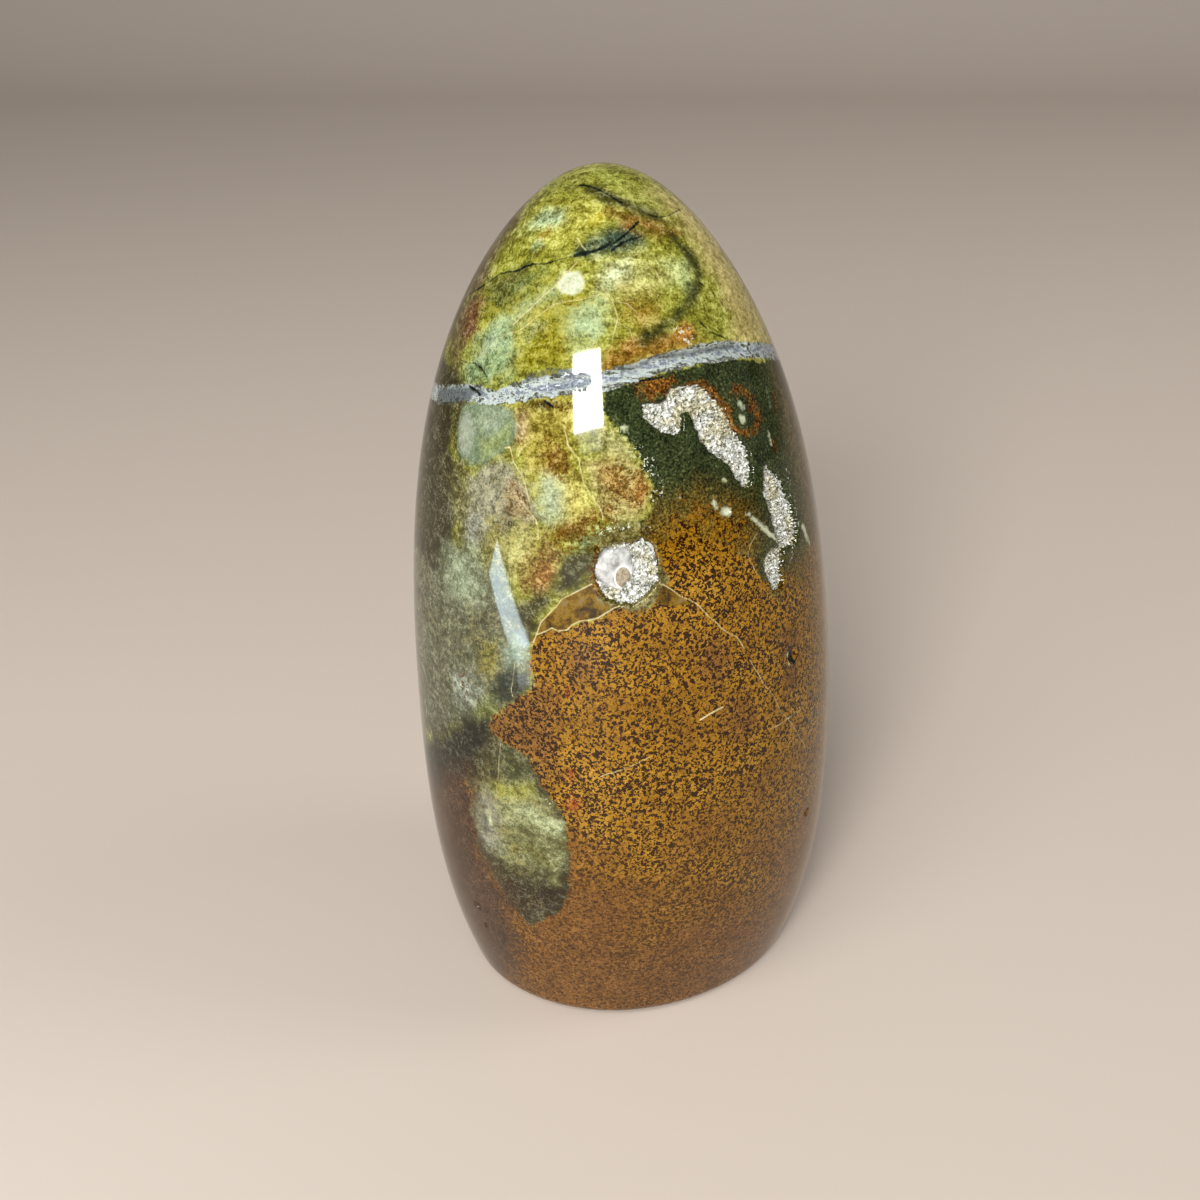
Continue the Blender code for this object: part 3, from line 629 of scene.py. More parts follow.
# Soft washes of colour under everything else, the later over the earlier: a tone from 0 to 255
# (a fourth number under 1 makes it less grainy), how soft its edge is in mm, and its place
washes = [
    # the olive skin along the left and the right of the top; the dark olive down the left rim is partly
    # painted shade
    ((93, 82, 46, 0.7), 2.5, patch((556, 184), (538, 200), (522, 220), (508, 240), (497, 262), (486, 285),
        (476, 310), (466, 340), (460, 372), (462, 386), side(-80, 122), side(-104, 119), side(-122, 114),
        side(-114, 126), side(-128, 134), side(-100, 143), side(-70, 147))),
    ((101, 71, 41), 2, patch((478, 288), (486, 300), (478, 330), (466, 345), (462, 335), (468, 305))),
    ((176, 162, 104, 0.7), 3, patch((688, 236), (706, 262), (722, 296), (735, 330), (750, 350),
        side(80, 121), side(104, 120), side(116, 113), side(110, 124), side(124, 132), side(96, 143),
        side(70, 147), side(40, 147))),
    # the yellow green of the tip, with its clouds, olive streaks and threads
    ((134, 138, 63), 5, patch((545, 178), (600, 171), (660, 200), (668, 212), (640, 200), (600, 184),
        (560, 190), (535, 205))),
    ((146, 143, 59), 3, patch((535, 205), (560, 196), (590, 200), (610, 212), (600, 225), (570, 235),
        (545, 240), (530, 235))),
    ((62, 62, 18), 1.2, stroke(7, (572, 187), (590, 188), (605, 194), (622, 203), (640, 210),
        (652, 215))),
    ((147, 161, 123), 1.8, patch((526, 226), (534, 214), (548, 210), (562, 212), (560, 220), (545, 228),
        (532, 234))),
    ((146, 160, 120), 0.8, stroke(8, (535, 246), (538, 243))),
    ((137, 113, 25), 1, stroke(6, (541, 236), (547, 232))),
    ((159, 148, 41), 1, stroke(5, (592, 223), (600, 217))),
    ((89, 97, 46), 2, patch((490, 285), (510, 270), (530, 266), (540, 275), (525, 300), (505, 310),
        (488, 305))),
    ((57, 72, 55), 1.6, patch((575, 250), (590, 240), (606, 232), (622, 226), (640, 232), (642, 242),
        (625, 254), (600, 258), (580, 258))),
    ((117, 82, 28), 1.6, patch((610, 212), (622, 210), (640, 218), (660, 222), (680, 232), (672, 240),
        (650, 232), (625, 226))),
    ((50, 52, 17), 1, patch((669, 234), (676, 238), (688, 250), (697, 260), (690, 258), (678, 248))),
    ((164, 166, 92), 1.5, stroke(5, (618, 185), (630, 196), (645, 207))),
    ((152, 161, 105), 2, patch((668, 265), (685, 262), (694, 280), (688, 292), (675, 285))),
    ((151, 150, 87), 3, patch((598, 262), (640, 262), (665, 275), (660, 298), (630, 300), (605, 300),
        (595, 285))),
    ((175, 181, 142), 1.6, stroke(9, (604, 277), (612, 272), (625, 270))),
    ((124, 102, 28), 2.5, patch((628, 300), (645, 292), (662, 300), (660, 320), (640, 328), (625, 318))),
    ((140, 156, 118, 0.6), 2, patch((480, 340), (500, 318), (525, 302), (556, 288), (562, 298),
        (535, 312), (512, 330), (492, 350))),
    ((141, 141, 71), 1.5, patch((515, 322), (545, 300), (565, 298), (550, 312), (530, 325))),
    ((222, 226, 186, 0.2), 0.8, patch((566, 273), (578, 272), (585, 282), (582, 290), (573, 295),
        (562, 293), (557, 285))),
    ((142, 158, 118, 0.75), 2.5, patch((570, 305), (600, 298), (606, 320), (602, 345), (575, 350),
        (560, 335))),
    ((118, 136, 98), 2.5, patch((463, 378), (468, 350), (490, 332), (510, 338), (518, 352), (512, 372),
        (490, 384), (470, 386))),
    ((124, 119, 26), 2, patch((516, 364), (524, 340), (540, 326), (556, 322), (566, 335), (566, 354),
        (556, 364), (535, 372))),
    ((154, 165, 137), 2, stroke(8, (526, 338), (535, 326))),
    ((146, 156, 132), 2, stroke(6, (482, 352), (492, 345))),
    ((124, 92, 25), 1.6, patch((603, 350), (625, 340), (650, 338), (690, 330), (700, 342), (670, 350),
        (640, 358), (612, 370), (602, 370))),
    ((162, 118, 54), 1, patch((674, 330), (684, 322), (695, 328), (694, 338), (680, 340))),
    ((55, 58, 18), 1.2, stroke(8, (694, 288), (688, 300), (682, 308), (672, 320), (660, 330),
        (645, 336))),
    ((70, 68, 26, 0.7), 1.2, stroke(7, (590, 190), (622, 203), (645, 212), (660, 218))),
    ((62, 62, 22, 0.7), 1.1, stroke(6, (668, 232), (690, 255), (700, 275), (697, 292), (684, 312),
        (664, 328))),
    ((94, 90, 38, 0.8), 1.2, stroke(8, (466, 300), (490, 285), (520, 272))),
    # the back, which the photograph doesn't show
    ((146, 156, 116, 0.8), 5, patch(side(150, 100), side(168, 97), side(-176, 86), side(172, 76),
        side(153, 84))),
    ((124, 112, 42), 5, patch(side(-152, 101), side(-130, 104), side(-120, 90), side(-135, 79),
        side(-150, 84))),
    ((84, 90, 46), 5, patch(side(-172, 113), side(-152, 112), side(-148, 126), side(-172, 125))),
    ((62, 62, 26), 1.5, stroke(9, side(172, 132), side(-174, 121), side(-164, 113))),
    ((166, 170, 116, 0.8), 5, patch(side(158, 121), side(176, 124), side(-178, 134), side(160, 137))),
    ((128, 94, 40), 1.5, stroke(12, side(139, 93), side(148, 82), side(160, 74), side(172, 70))),
    ((124, 134, 104, 0.8), 4, patch(side(-177, 66), side(-160, 71), side(-150, 58), side(-164, 51))),
    ((90, 88, 62), 5, patch(side(-122, 71), side(-100, 74), side(-100, 56), side(-126, 50))),
    ((60, 56, 28), 1.5, stroke(10, side(-136, 104), side(-128, 86), side(-134, 66), side(-124, 48))),
    # the left side under the vein
    ((86, 86, 66, 0.75), 3, patch((452, 540), (480, 540), (510, 560), (515, 590), (522, 640), (530, 665),
        (515, 700), (495, 715), (480, 725), (435, 740), side(-90, 36), side(-108, 44), side(-124, 54),
        side(-112, 64), side(-128, 74), side(-114, 86), side(-90, 90))),
    ((54, 50, 28, 0.6), 1.5, patch((462, 376), (464, 386), (460, 402), (455, 425), (453, 448), (459, 470),
        (460, 500), (456, 530), (450, 555), (440, 575), side(-85, 88), side(-102, 82), side(-120, 92),
        side(-108, 102), side(-124, 110), side(-112, 118), side(-80, 121))),
    ((84, 80, 40), 1.5, stroke(20, (464, 396), (458, 430), (462, 470), (462, 530), (458, 570))),
    ((68, 42, 25), 0.7, stroke(5, (462, 404), (460, 412))),
    ((128, 122, 72), 2, patch((500, 455), (530, 470), (540, 540), (520, 560), (480, 560), (470, 545),
        (500, 520))),
    ((134, 123, 49), 2, patch((513, 408), (530, 402), (560, 400), (575, 405), (578, 440), (575, 475),
        (560, 480), (530, 478), (515, 450), (512, 425))),
    ((50, 46, 14), 1, patch((528, 402), (545, 400), (556, 405), (550, 411), (535, 409))),
    ((124, 98, 38), 1.2, patch((545, 455), (555, 448), (565, 452), (566, 465), (558, 475), (545, 470))),
    ((137, 119, 82), 1.6, patch((512, 418), (525, 415), (530, 430), (520, 445), (512, 440))),
    ((120, 118, 98, 0.9), 2, patch((466, 474), (480, 466), (500, 457), (512, 450), (518, 465), (527, 492),
        (534, 512), (520, 525), (495, 530), (475, 540), (468, 530), (462, 500))),
    ((130, 116, 88), 1.2, patch((508, 480), (518, 478), (528, 500), (530, 515), (515, 520), (505, 512))),
    ((84, 81, 59), 1.2, patch((495, 515), (515, 520), (525, 530), (510, 536), (490, 530))),
    ((132, 133, 122), 1.2, patch((465, 520), (480, 515), (485, 530), (480, 545), (468, 545))),
    ((93, 89, 54), 1.5, patch((452, 475), (465, 480), (470, 500), (465, 520), (455, 530), (450, 500))),
    ((104, 116, 92, 0.5), 0.5, patch((462, 405), (478, 400), (500, 403), (512, 412), (516, 430),
        (512, 445), (500, 455), (485, 464), (470, 466), (460, 458), (456, 445), (457, 425))),
    ((118, 128, 84, 0.5), 1.2, patch((478, 440), (495, 432), (508, 425), (510, 440), (498, 452),
        (482, 460))),
    ((136, 142, 124, 0.3), 0.5, patch((462, 415), (470, 412), (474, 425), (473, 445), (468, 458),
        (460, 450), (458, 435))),
    ((136, 146, 124, 0.5), 1.5, patch((484, 408), (498, 405), (502, 418), (496, 432), (486, 436),
        (480, 425))),
    ((58, 60, 34), 0.5, stroke(2.5, (462, 405), (457, 425), (456, 445), (461, 460), (471, 467),
        (486, 465))),
    ((146, 154, 126, 0.75), 2, patch((540, 478), (562, 482), (572, 495), (568, 515), (550, 525),
        (538, 505))),
    ((159, 150, 81), 2, patch((566, 470), (580, 478), (592, 500), (600, 515), (580, 520), (565, 512))),
    ((126, 124, 74), 1.5, patch((588, 425), (610, 428), (630, 445), (642, 462), (615, 458), (588, 452))),
    ((146, 136, 84), 1.2, patch((582, 460), (600, 455), (625, 455), (645, 470), (652, 490), (648, 510),
        (635, 520), (612, 518), (598, 505), (588, 488))),
    ((138, 112, 60), 1.5, patch((600, 468), (615, 465), (628, 475), (625, 495), (608, 492))),
    ((146, 108, 52), 1.2, patch((632, 478), (642, 472), (648, 485), (645, 500), (635, 502))),
    ((146, 143, 86), 2, patch((500, 545), (520, 530), (535, 535), (530, 560), (520, 580), (508, 580))),
    ((124, 108, 49), 2, patch((520, 560), (535, 540), (560, 536), (562, 560), (550, 580), (535, 595),
        (520, 590))),
    ((118, 92, 42), 1.6, patch((552, 532), (570, 520), (590, 512), (608, 510), (600, 525), (580, 535),
        (565, 542))),
    ((132, 94, 38), 1.2, patch((538, 570), (550, 560), (556, 572), (545, 590), (535, 596))),
    ((108, 114, 76), 1.6, patch((572, 537), (600, 526), (632, 526), (650, 520), (640, 540), (600, 546),
        (575, 556))),
    ((92, 84, 40), 1.2, patch((596, 535), (615, 524), (650, 522), (668, 540), (676, 570), (668, 606),
        (640, 622), (600, 616), (588, 590), (590, 560))),
    ((52, 50, 21, 0.7), 1.4, patch((562, 556), (580, 549), (596, 552), (592, 575), (575, 590), (560, 598),
        (552, 590))),
    ((57, 53, 23, 0.7), 1.6, patch((512, 605), (530, 592), (548, 592), (560, 600), (545, 612), (536, 635),
        (528, 645), (518, 628))),
    ((93, 91, 41), 1.6, patch((478, 545), (500, 545), (505, 565), (490, 575), (478, 565))),
    ((124, 132, 108, 0.75), 3, patch((450, 548), (470, 545), (480, 570), (475, 600), (455, 605),
        (446, 580))),
    ((98, 94, 43), 2, patch((480, 640), (500, 636), (505, 660), (492, 680), (480, 670))),
    ((112, 126, 108, 0.6), 2, patch((500, 640), (520, 636), (528, 660), (515, 670), (503, 660))),
    ((124, 129, 117), 2, patch((455, 675), (470, 668), (476, 690), (472, 708), (458, 705))),
    ((40, 44, 32, 0.3), 1.2, patch((492, 692), (498, 675), (510, 668), (528, 670), (532, 684), (514, 700),
        (500, 702))),
    ((93, 99, 49), 2, patch((472, 712), (490, 700), (494, 712), (480, 722))),
    ((32, 30, 20, 0.35), 2, patch((430, 738), (466, 718), (490, 718), (502, 742), (500, 784), (474, 796),
        (455, 796), (440, 800), side(-88, 18), side(-115, 34), side(-95, 40))),
    # the pale patch low on the left
    ((62, 58, 32, 0.6), 1.5, patch((490, 735), (520, 745), (560, 780), (585, 830), (585, 905), (535, 940),
        (480, 905), (462, 850), (460, 785), (478, 760))),
    ((65, 66, 37, 0.6), 1.5, patch((500, 742), (520, 752), (534, 770), (530, 785), (500, 785),
        (496, 765))),
    ((102, 102, 66, 0.8), 1.2, patch((478, 790), (495, 783), (525, 778), (548, 800), (562, 825),
        (568, 855), (560, 876), (545, 874), (512, 864), (495, 857), (478, 835), (473, 808))),
    ((112, 112, 100, 0.6), 2, patch((478, 795), (492, 796), (498, 820), (500, 850), (488, 852),
        (478, 835), (475, 808))),
    ((128, 128, 58), 1.5, stroke(12, (502, 793), (530, 790))),
    ((146, 152, 116), 2, stroke(14, (508, 812), (530, 812), (552, 828))),
    ((98, 92, 38), 1.5, stroke(6, (514, 848), (534, 852), (548, 866))),
    ((189, 192, 145), 0.8, stroke(4, (488, 813), (491, 824))),
    ((146, 148, 99), 1, stroke(6, (552, 878), (557, 884))),
    ((46, 36, 18, 0.5), 2.5, patch((505, 878), (560, 886), (572, 866), (570, 892), (560, 912), (530, 925),
        (510, 905))),
]
opalTone = (130, 130, 46)

# How two noises shake the washes' edges, in mm. Edges softer than evenSoft are shaken more,
# up to so many times.
washEdges = {"wideSize": 5, "wide": 1.0, "fineSize": 1.5, "fine": 0.7, "evenSoft": 1.5, "upTo": 2}

# Marks that need a finer mesh around them
fineMarks = ["paleLine", "darkLine", "lens"]


def meshedStone():
    mesh = stoneGrid()
    for limit in (stoneMesh["firstParting"], stoneMesh["secondParting"]):
        points = meshPoints(mesh)
        flat = spreadFlat(points)
        nearest = np.full(len(points), farAway)
        for name in fineMarks:
            nearest = np.minimum(nearest, np.abs(distanceToMarks(points, flat, markings[name])))
        for hollow in hollows.values():
            nearest = np.minimum(nearest, np.abs(insideHollow(points, hollow)))
        nearest = np.where(grooveDepth(points) > 0, 0, nearest)
        for x, height, radius in pits:
            middle = frontFrame(x, height)[0]
            nearest = np.minimum(nearest, np.linalg.norm(points - middle, axis=1) - radius)
        partFaces(mesh, nearest, limit)
    return mesh


# Sinks the hollows, the groove and the pits into the skin
def sinkHollows(points):
    depth = grooveDepth(points)
    for hollow in hollows.values():
        share = np.clip(insideHollow(points, hollow) / hollowShape["wall"], 0, 1)
        depth = np.maximum(depth, hollowShape["depth"] * eased(share))
    for x, height, radius in pits:
        away = np.linalg.norm(points - frontFrame(x, height)[0], axis=1) / radius
        bowl = np.clip(1 - away ** 2, 0, 1) ** pitShape["roundness"]
        depth = np.maximum(depth, pitShape["depth"] * radius * bowl)
    sunk = depth > 0
    moved = points.copy()
    moved[sunk] -= skinNormals(points[sunk]) * depth[sunk][:, None]
    return moved


def addObject(name, data):
    made = bpy.data.objects.new(name, data)
    bpy.context.scene.collection.objects.link(made)
    return made


def newPiece(name, mesh, material):
    mesh.materials.clear()
    mesh.materials.append(material)
    return addObject(name, mesh)


def newMaterial(name):
    material = bpy.data.materials.new(name)
    material.use_nodes = True
    return material, material.node_tree.nodes["Principled BSDF"]


def storeAttribute(mesh, name, values):
    attribute = mesh.attributes.new(name, "FLOAT", "POINT")
    attribute.data.foreach_set("value", values.astype(np.float32))


# A colour as it looks on a screen, 0 to 255
def colour(red, green, blue):
    parts = [part / 255 for part in (red, green, blue)]
    return (*[((part + 0.055) / 1.055) ** 2.4 if part > 0.04 else part / 12.92 for part in parts], 1)


# The washes laid on each other, as one colour for each point and how grainy it is
def paintWashes(points, flat):
    shake = (noiseAt(points, washEdges["wideSize"]) * washEdges["wide"]
             + noiseAt(points, washEdges["fineSize"]) * washEdges["fine"])
    painted = np.tile((*colour(*opalTone)[:3], 1.0), (len(points), 1))
    for tone, soft, mark in washes:
        distance = distanceToMarks(points, flat, [mark])
        shaken = distance + shake * min(washEdges["upTo"], soft / washEdges["evenSoft"])
        share = eased(np.clip(0.5 - shaken / (2 * soft), 0, 1))[:, None]
        grains = tone[3] if len(tone) > 3 else 1
        painted += (np.array((*colour(*tone[:3])[:3], grains)) - painted) * share
    return painted


def buildStone():
    mesh = meshedStone()
    points = meshPoints(mesh)
    flat = spreadFlat(points)
    for name, marks in markings.items():
        storeAttribute(mesh, name, distanceToMarks(points, flat, marks))
    layer = mesh.color_attributes.new("washes", "FLOAT_COLOR", "POINT")
    layer.data.foreach_set("color", paintWashes(points, flat).ravel().astype(np.float32))
    mesh.vertices.foreach_set("co", (sinkHollows(points) * mm).ravel().astype(np.float32))
    mesh.shade_smooth()
    mesh.update()
    return newPiece("stone_polished", mesh, polishedOpal())


# Short ways to make and join the nodes of a material
class NodeMaker:
    def __init__(self, tree):
        self.tree = tree

    def add(self, kind, inputs=None, output=0, **settings):
        made = self.tree.nodes.new(kind)
        for name, value in settings.items():
            setattr(made, name, value)
        for name, value in (inputs or {}).items():
            if isinstance(value, bpy.types.NodeSocket):
                self.tree.links.new(value, made.inputs[name])
            else:
                made.inputs[name].default_value = value
        return made.outputs[output]

    def attribute(self, name, output="Fac"):
        return self.add("ShaderNodeAttribute", output=output, attribute_name=name)

    # The object's own coordinates in mm
    def placeInMm(self):
        place = self.add("ShaderNodeTexCoord", output="Object")
        return self.add("ShaderNodeVectorMath", {0: place, 3: 1 / mm}, operation="SCALE")

    def noise(self, where, size, detail, roughness, twist=0):
        return self.add("ShaderNodeTexNoise", {"Vector": where, "Scale": 1 / size, "Detail": detail,
                                               "Roughness": roughness, "Distortion": twist})

    def maths(self, operation, first, second=0.0, third=0.0):
        return self.add("ShaderNodeMath", {0: first, 1: second, 2: third}, operation=operation)

    def times(self, first, second):
        return self.maths("MULTIPLY", first, second)

    def plus(self, first, second):
        return self.maths("ADD", first, second)

    def less(self, first, second):
        return self.maths("SUBTRACT", first, second)

    def compare(self, operation, first, second):
        return self.add("FunctionNodeCompare", {0: first, 1: second}, operation=operation)

    # How far a value is from a middle one
    def apart(self, value, middle):
        return self.maths("ABSOLUTE", self.less(value, middle))

    # 0 to 1 as a value goes from low to high
    def ramp(self, value, low, high):
        return self.add("ShaderNodeMapRange", {"Value": value, "From Min": low, "From Max": high},
                        interpolation_type="SMOOTHSTEP")

    def blend(self, factor, first, second, kind="MIX"):
        return self.add("ShaderNodeMix", {0: factor, 6: first, 7: second}, 2, data_type="RGBA",
                        blend_type=kind)

    # Noises around 0.5 added up by their weights
    def mixed(self, *weighted):
        total = 0.5
        for texture, weight in weighted:
            total = self.maths("MULTIPLY_ADD", self.less(texture, 0.5), weight, total)
        return total

    # Colours along a value, at even places from low to high
    def tones(self, value, low, high, *colours):
        ramp = self.tree.nodes.new("ShaderNodeValToRGB")
        stops = ramp.color_ramp.elements
        while len(stops) < len(colours):
            stops.new(0.5)
        for number, (stop, tone) in enumerate(zip(stops, colours)):
            stop.position = low + (high - low) * number / (len(colours) - 1)
            stop.color = colour(*tone)
        self.tree.links.new(value, ramp.inputs[0])
        return ramp.outputs[0]


# The noises of the stone's skin: size in mm, detail, roughness and twist
stoneNoises = {
    "grain": (0.36, 2, 0.6, 0),
    "mottle": (1.1, 5, 0.7, 0.5),
    "clouds": (4.5, 6, 0.62, 0.5),
    "wide": (14, 3, 0.5, 0),
    "writing": (0.55, 2, 0.5, 0.9),
    "web": (3.4, 4, 0.6, 1.2),
}

# Noises drawn out along a line that rises from left to right: its angle, how much longer they
# are along it, and then as above
drawnNoises = {
    "rising": (38, 5, (1.3, 4, 0.6, 0.3)),
    "along": (8, 7, (0.75, 4, 0.6, 0.3)),
}

# How the washes are broken up: "noises" are weights, "span" is where a value starts and is
# full, "times" multiplies the wash's own colour, "towards" is a tone that it is mixed with
washLook = {
    "grains": {"clouds": 0.6, "mottle": 1.4, "grain": 1.0, "rising": 0.8},
    "deep": {"span": (0.55, 0.2), "times": (0.38, 0.34, 0.2, 1)},
    "pale": {"span": (0.5, 0.84), "times": (1.7, 1.7, 1.7, 1), "towards": (236, 238, 206),
             "share": 0.16},
    "ochre": {"span": (0.58, 0.84), "towards": (150, 126, 14), "share": 0.5, "strength": 0.6,
              "noises": {"wide": 1.0, "mottle": 1.4, "grain": 0.5}},
    "threads": {"of": "clouds", "middle": 0.52, "span": (0.008, 0.0), "where": ("mottle", 0.45, 0.6),
                "strength": 0.6},
    "web": {"of": "web", "middle": 0.5, "span": (0.014, 0.002), "where": ("wide", 0.42, 0.56),
            "strength": 0.5},
}

# The zones' colours: "edge" is how soft it is in mm and how far the clouds and the mottle shake
# it, "noises" are the weights of the pattern inside, "span" its range, and "tones" go from the
# deepest to the palest, 0 to 255. Flecks are where the writing noise passes its limits, and it
# grows or falls towards the middle of their zone.
patternSpan = (0.2, 0.8)
stoneZones = {
    "moss": {"edge": (0.35, 0.25, 0.35), "noises": {"clouds": 0.5, "mottle": 0.5, "grain": 1.3},
             "tones": [(12, 18, 4), (36, 44, 18), (58, 66, 38), (96, 102, 64)]},
    "mossLow": {"noises": {"clouds": 0.5, "mottle": 0.7, "grain": 1.3},
                "tones": [(20, 14, 0), (62, 50, 12), (104, 82, 26), (140, 116, 52)]},
    "jasper": {"noises": {"wide": 0.6, "clouds": 0.5, "mottle": 0.6, "grain": 0.7},
               "tones": [(96, 66, 12), (130, 92, 14), (154, 114, 26), (176, 138, 56)]},
    # the low jasper tones are partly painted shade, darker where less light reaches below the widest
    # part; the dull patches use them too
    "jasperDullAndShadedLow": {"noises": {"clouds": 0.7, "mottle": 0.6, "grain": 1.0},
                  "tones": [(84, 56, 22), (114, 78, 34), (142, 102, 54)]},
    "jasperSpeck": {"noises": {"grain": 1}, "span": (0.35, 0.65), "tones": [(14, 4, 0), (56, 28, 4)]},
    "dull": {"edge": (2.5, 0.6, 0.3), "strength": 0.8},
    "red": {"edge": (0.8, 0.4, 0.5), "strength": 0.5, "tones": [(128, 40, 22)]},
    # the brown's tones are partly painted shade, darkened for the shadowed floor beside the foot
    "brown": {"edge": (4, 1.2, 0.6), "noises": {"clouds": 0.4, "mottle": 0.6, "grain": 0.8},
              "tones": [(26, 17, 9), (58, 41, 28), (82, 61, 44), (110, 89, 69)]},
    "rust": {"edge": (0.6, 0.4, 0.8), "noises": {"mottle": 1.2, "grain": 1.4},
             "tones": [(24, 22, 6), (74, 48, 10), (128, 84, 22), (176, 134, 70)]},
    # the tan band on the right rim is a painted reflection of the warm room
    "tanRimReflection": {"edge": (5, 1.2, 0.4), "strength": 0.45, "noises": {"rising": 1.6, "grain": 1.0},
            "span": (0.3, 0.7), "tones": [(88, 68, 38), (130, 106, 66), (158, 132, 90)]},
    "lens": {"edge": (0.15, 0.04, 0.03), "noises": {"clouds": 1.8, "mottle": 1.4, "grain": 0.4},
             "tones": [(46, 34, 4), (88, 64, 0), (118, 90, 4), (114, 100, 66)]},
    # pale chalk of the stone, and also one painted highlight streak
    "chalkAndPaintedGlint": {"edge": (0.25, 0.1, 0.2), "noises": {"mottle": 1}, "span": (0.3, 0.7),
              "tones": [(150, 154, 112), (184, 188, 160), (206, 208, 196)]},
    "rustFlecks": {"outer": (1.5, 0.4, 0.4), "inner": (0.8, 0.4, 0.4), "grow": -0.14,
                   "limits": (0.37, 0.33), "strength": 0.8, "noises": {"grain": 1},
                   "span": (0.35, 0.65), "tones": [(48, 36, 8), (118, 80, 22)]},
    "flecks": {"outer": (1.5, 0.4, 0.4), "inner": (0.8, 0.4, 0.4), "grow": 0.12,
               "limits": (0.68, 0.76), "tones": [(196, 200, 182)]},
    "veinDark": {"edge": (0.5, 0.1, 0.1), "strength": 0.75, "tones": [(58, 62, 64)]},
    "darkLine": {"edge": (0.12, 0.05, 0.06), "noises": {"mottle": 1}, "span": (0.4, 0.6),
                 "tones": [(8, 14, 10), (36, 44, 34)]},
    "paleLine": {"edge": (0.1, 0.02, 0.03), "noises": {"mottle": 1}, "span": (0.4, 0.6),
                 "tones": [(168, 150, 92), (220, 212, 178)]},
}
edgeSwing = 8  # the noises swing by about an eighth, so this makes the shakes mm

# How the moss turns to its low tones near the jasper, in mm and away from the soft edges
mossTurn = {"shake": {"clouds": 12}, "span": (9, 0), "away": (6, -2)}

# The jasper's edge, which is softer by a factor along the soft marks, its quieter and darker lower part
# by height in mm, whose darkening is partly painted shade, and its specks: their density and how many of
# them are left low down
jasperLook = {
    "edge": 0.35,
    "shake": {"clouds": 2.4, "mottle": 3.2},
    "softReach": (3, -3),
    "softer": 9,
    "shadeAndQuietBelow": (62, 16),
    "fallShake": {"wide": 60},
    "density": {"wide": 0.14, "clouds": 0.1},
    "speckSpan": (0.0, -0.03),
    "speckFade": (3.0, -0.3),
}

# The vein's bands, from its edge to a depth in mm, and the pale grains over them
veinLook = {
    "edge": (0.12, 0.12, 0.22),
    "shake": {"mottle": 3.2, "along": 7},
    "depth": -3,
    "bands": [(70, 70, 56), (172, 180, 172), (140, 146, 148), (92, 98, 108), (128, 134, 144),
              (178, 186, 188)],
    "grains": (0.45, 0.7),
    "grainTone": (206, 214, 216),
    "grainShare": 0.4,
}
polish = {"Roughness": 0.06, "IOR": 1.5}


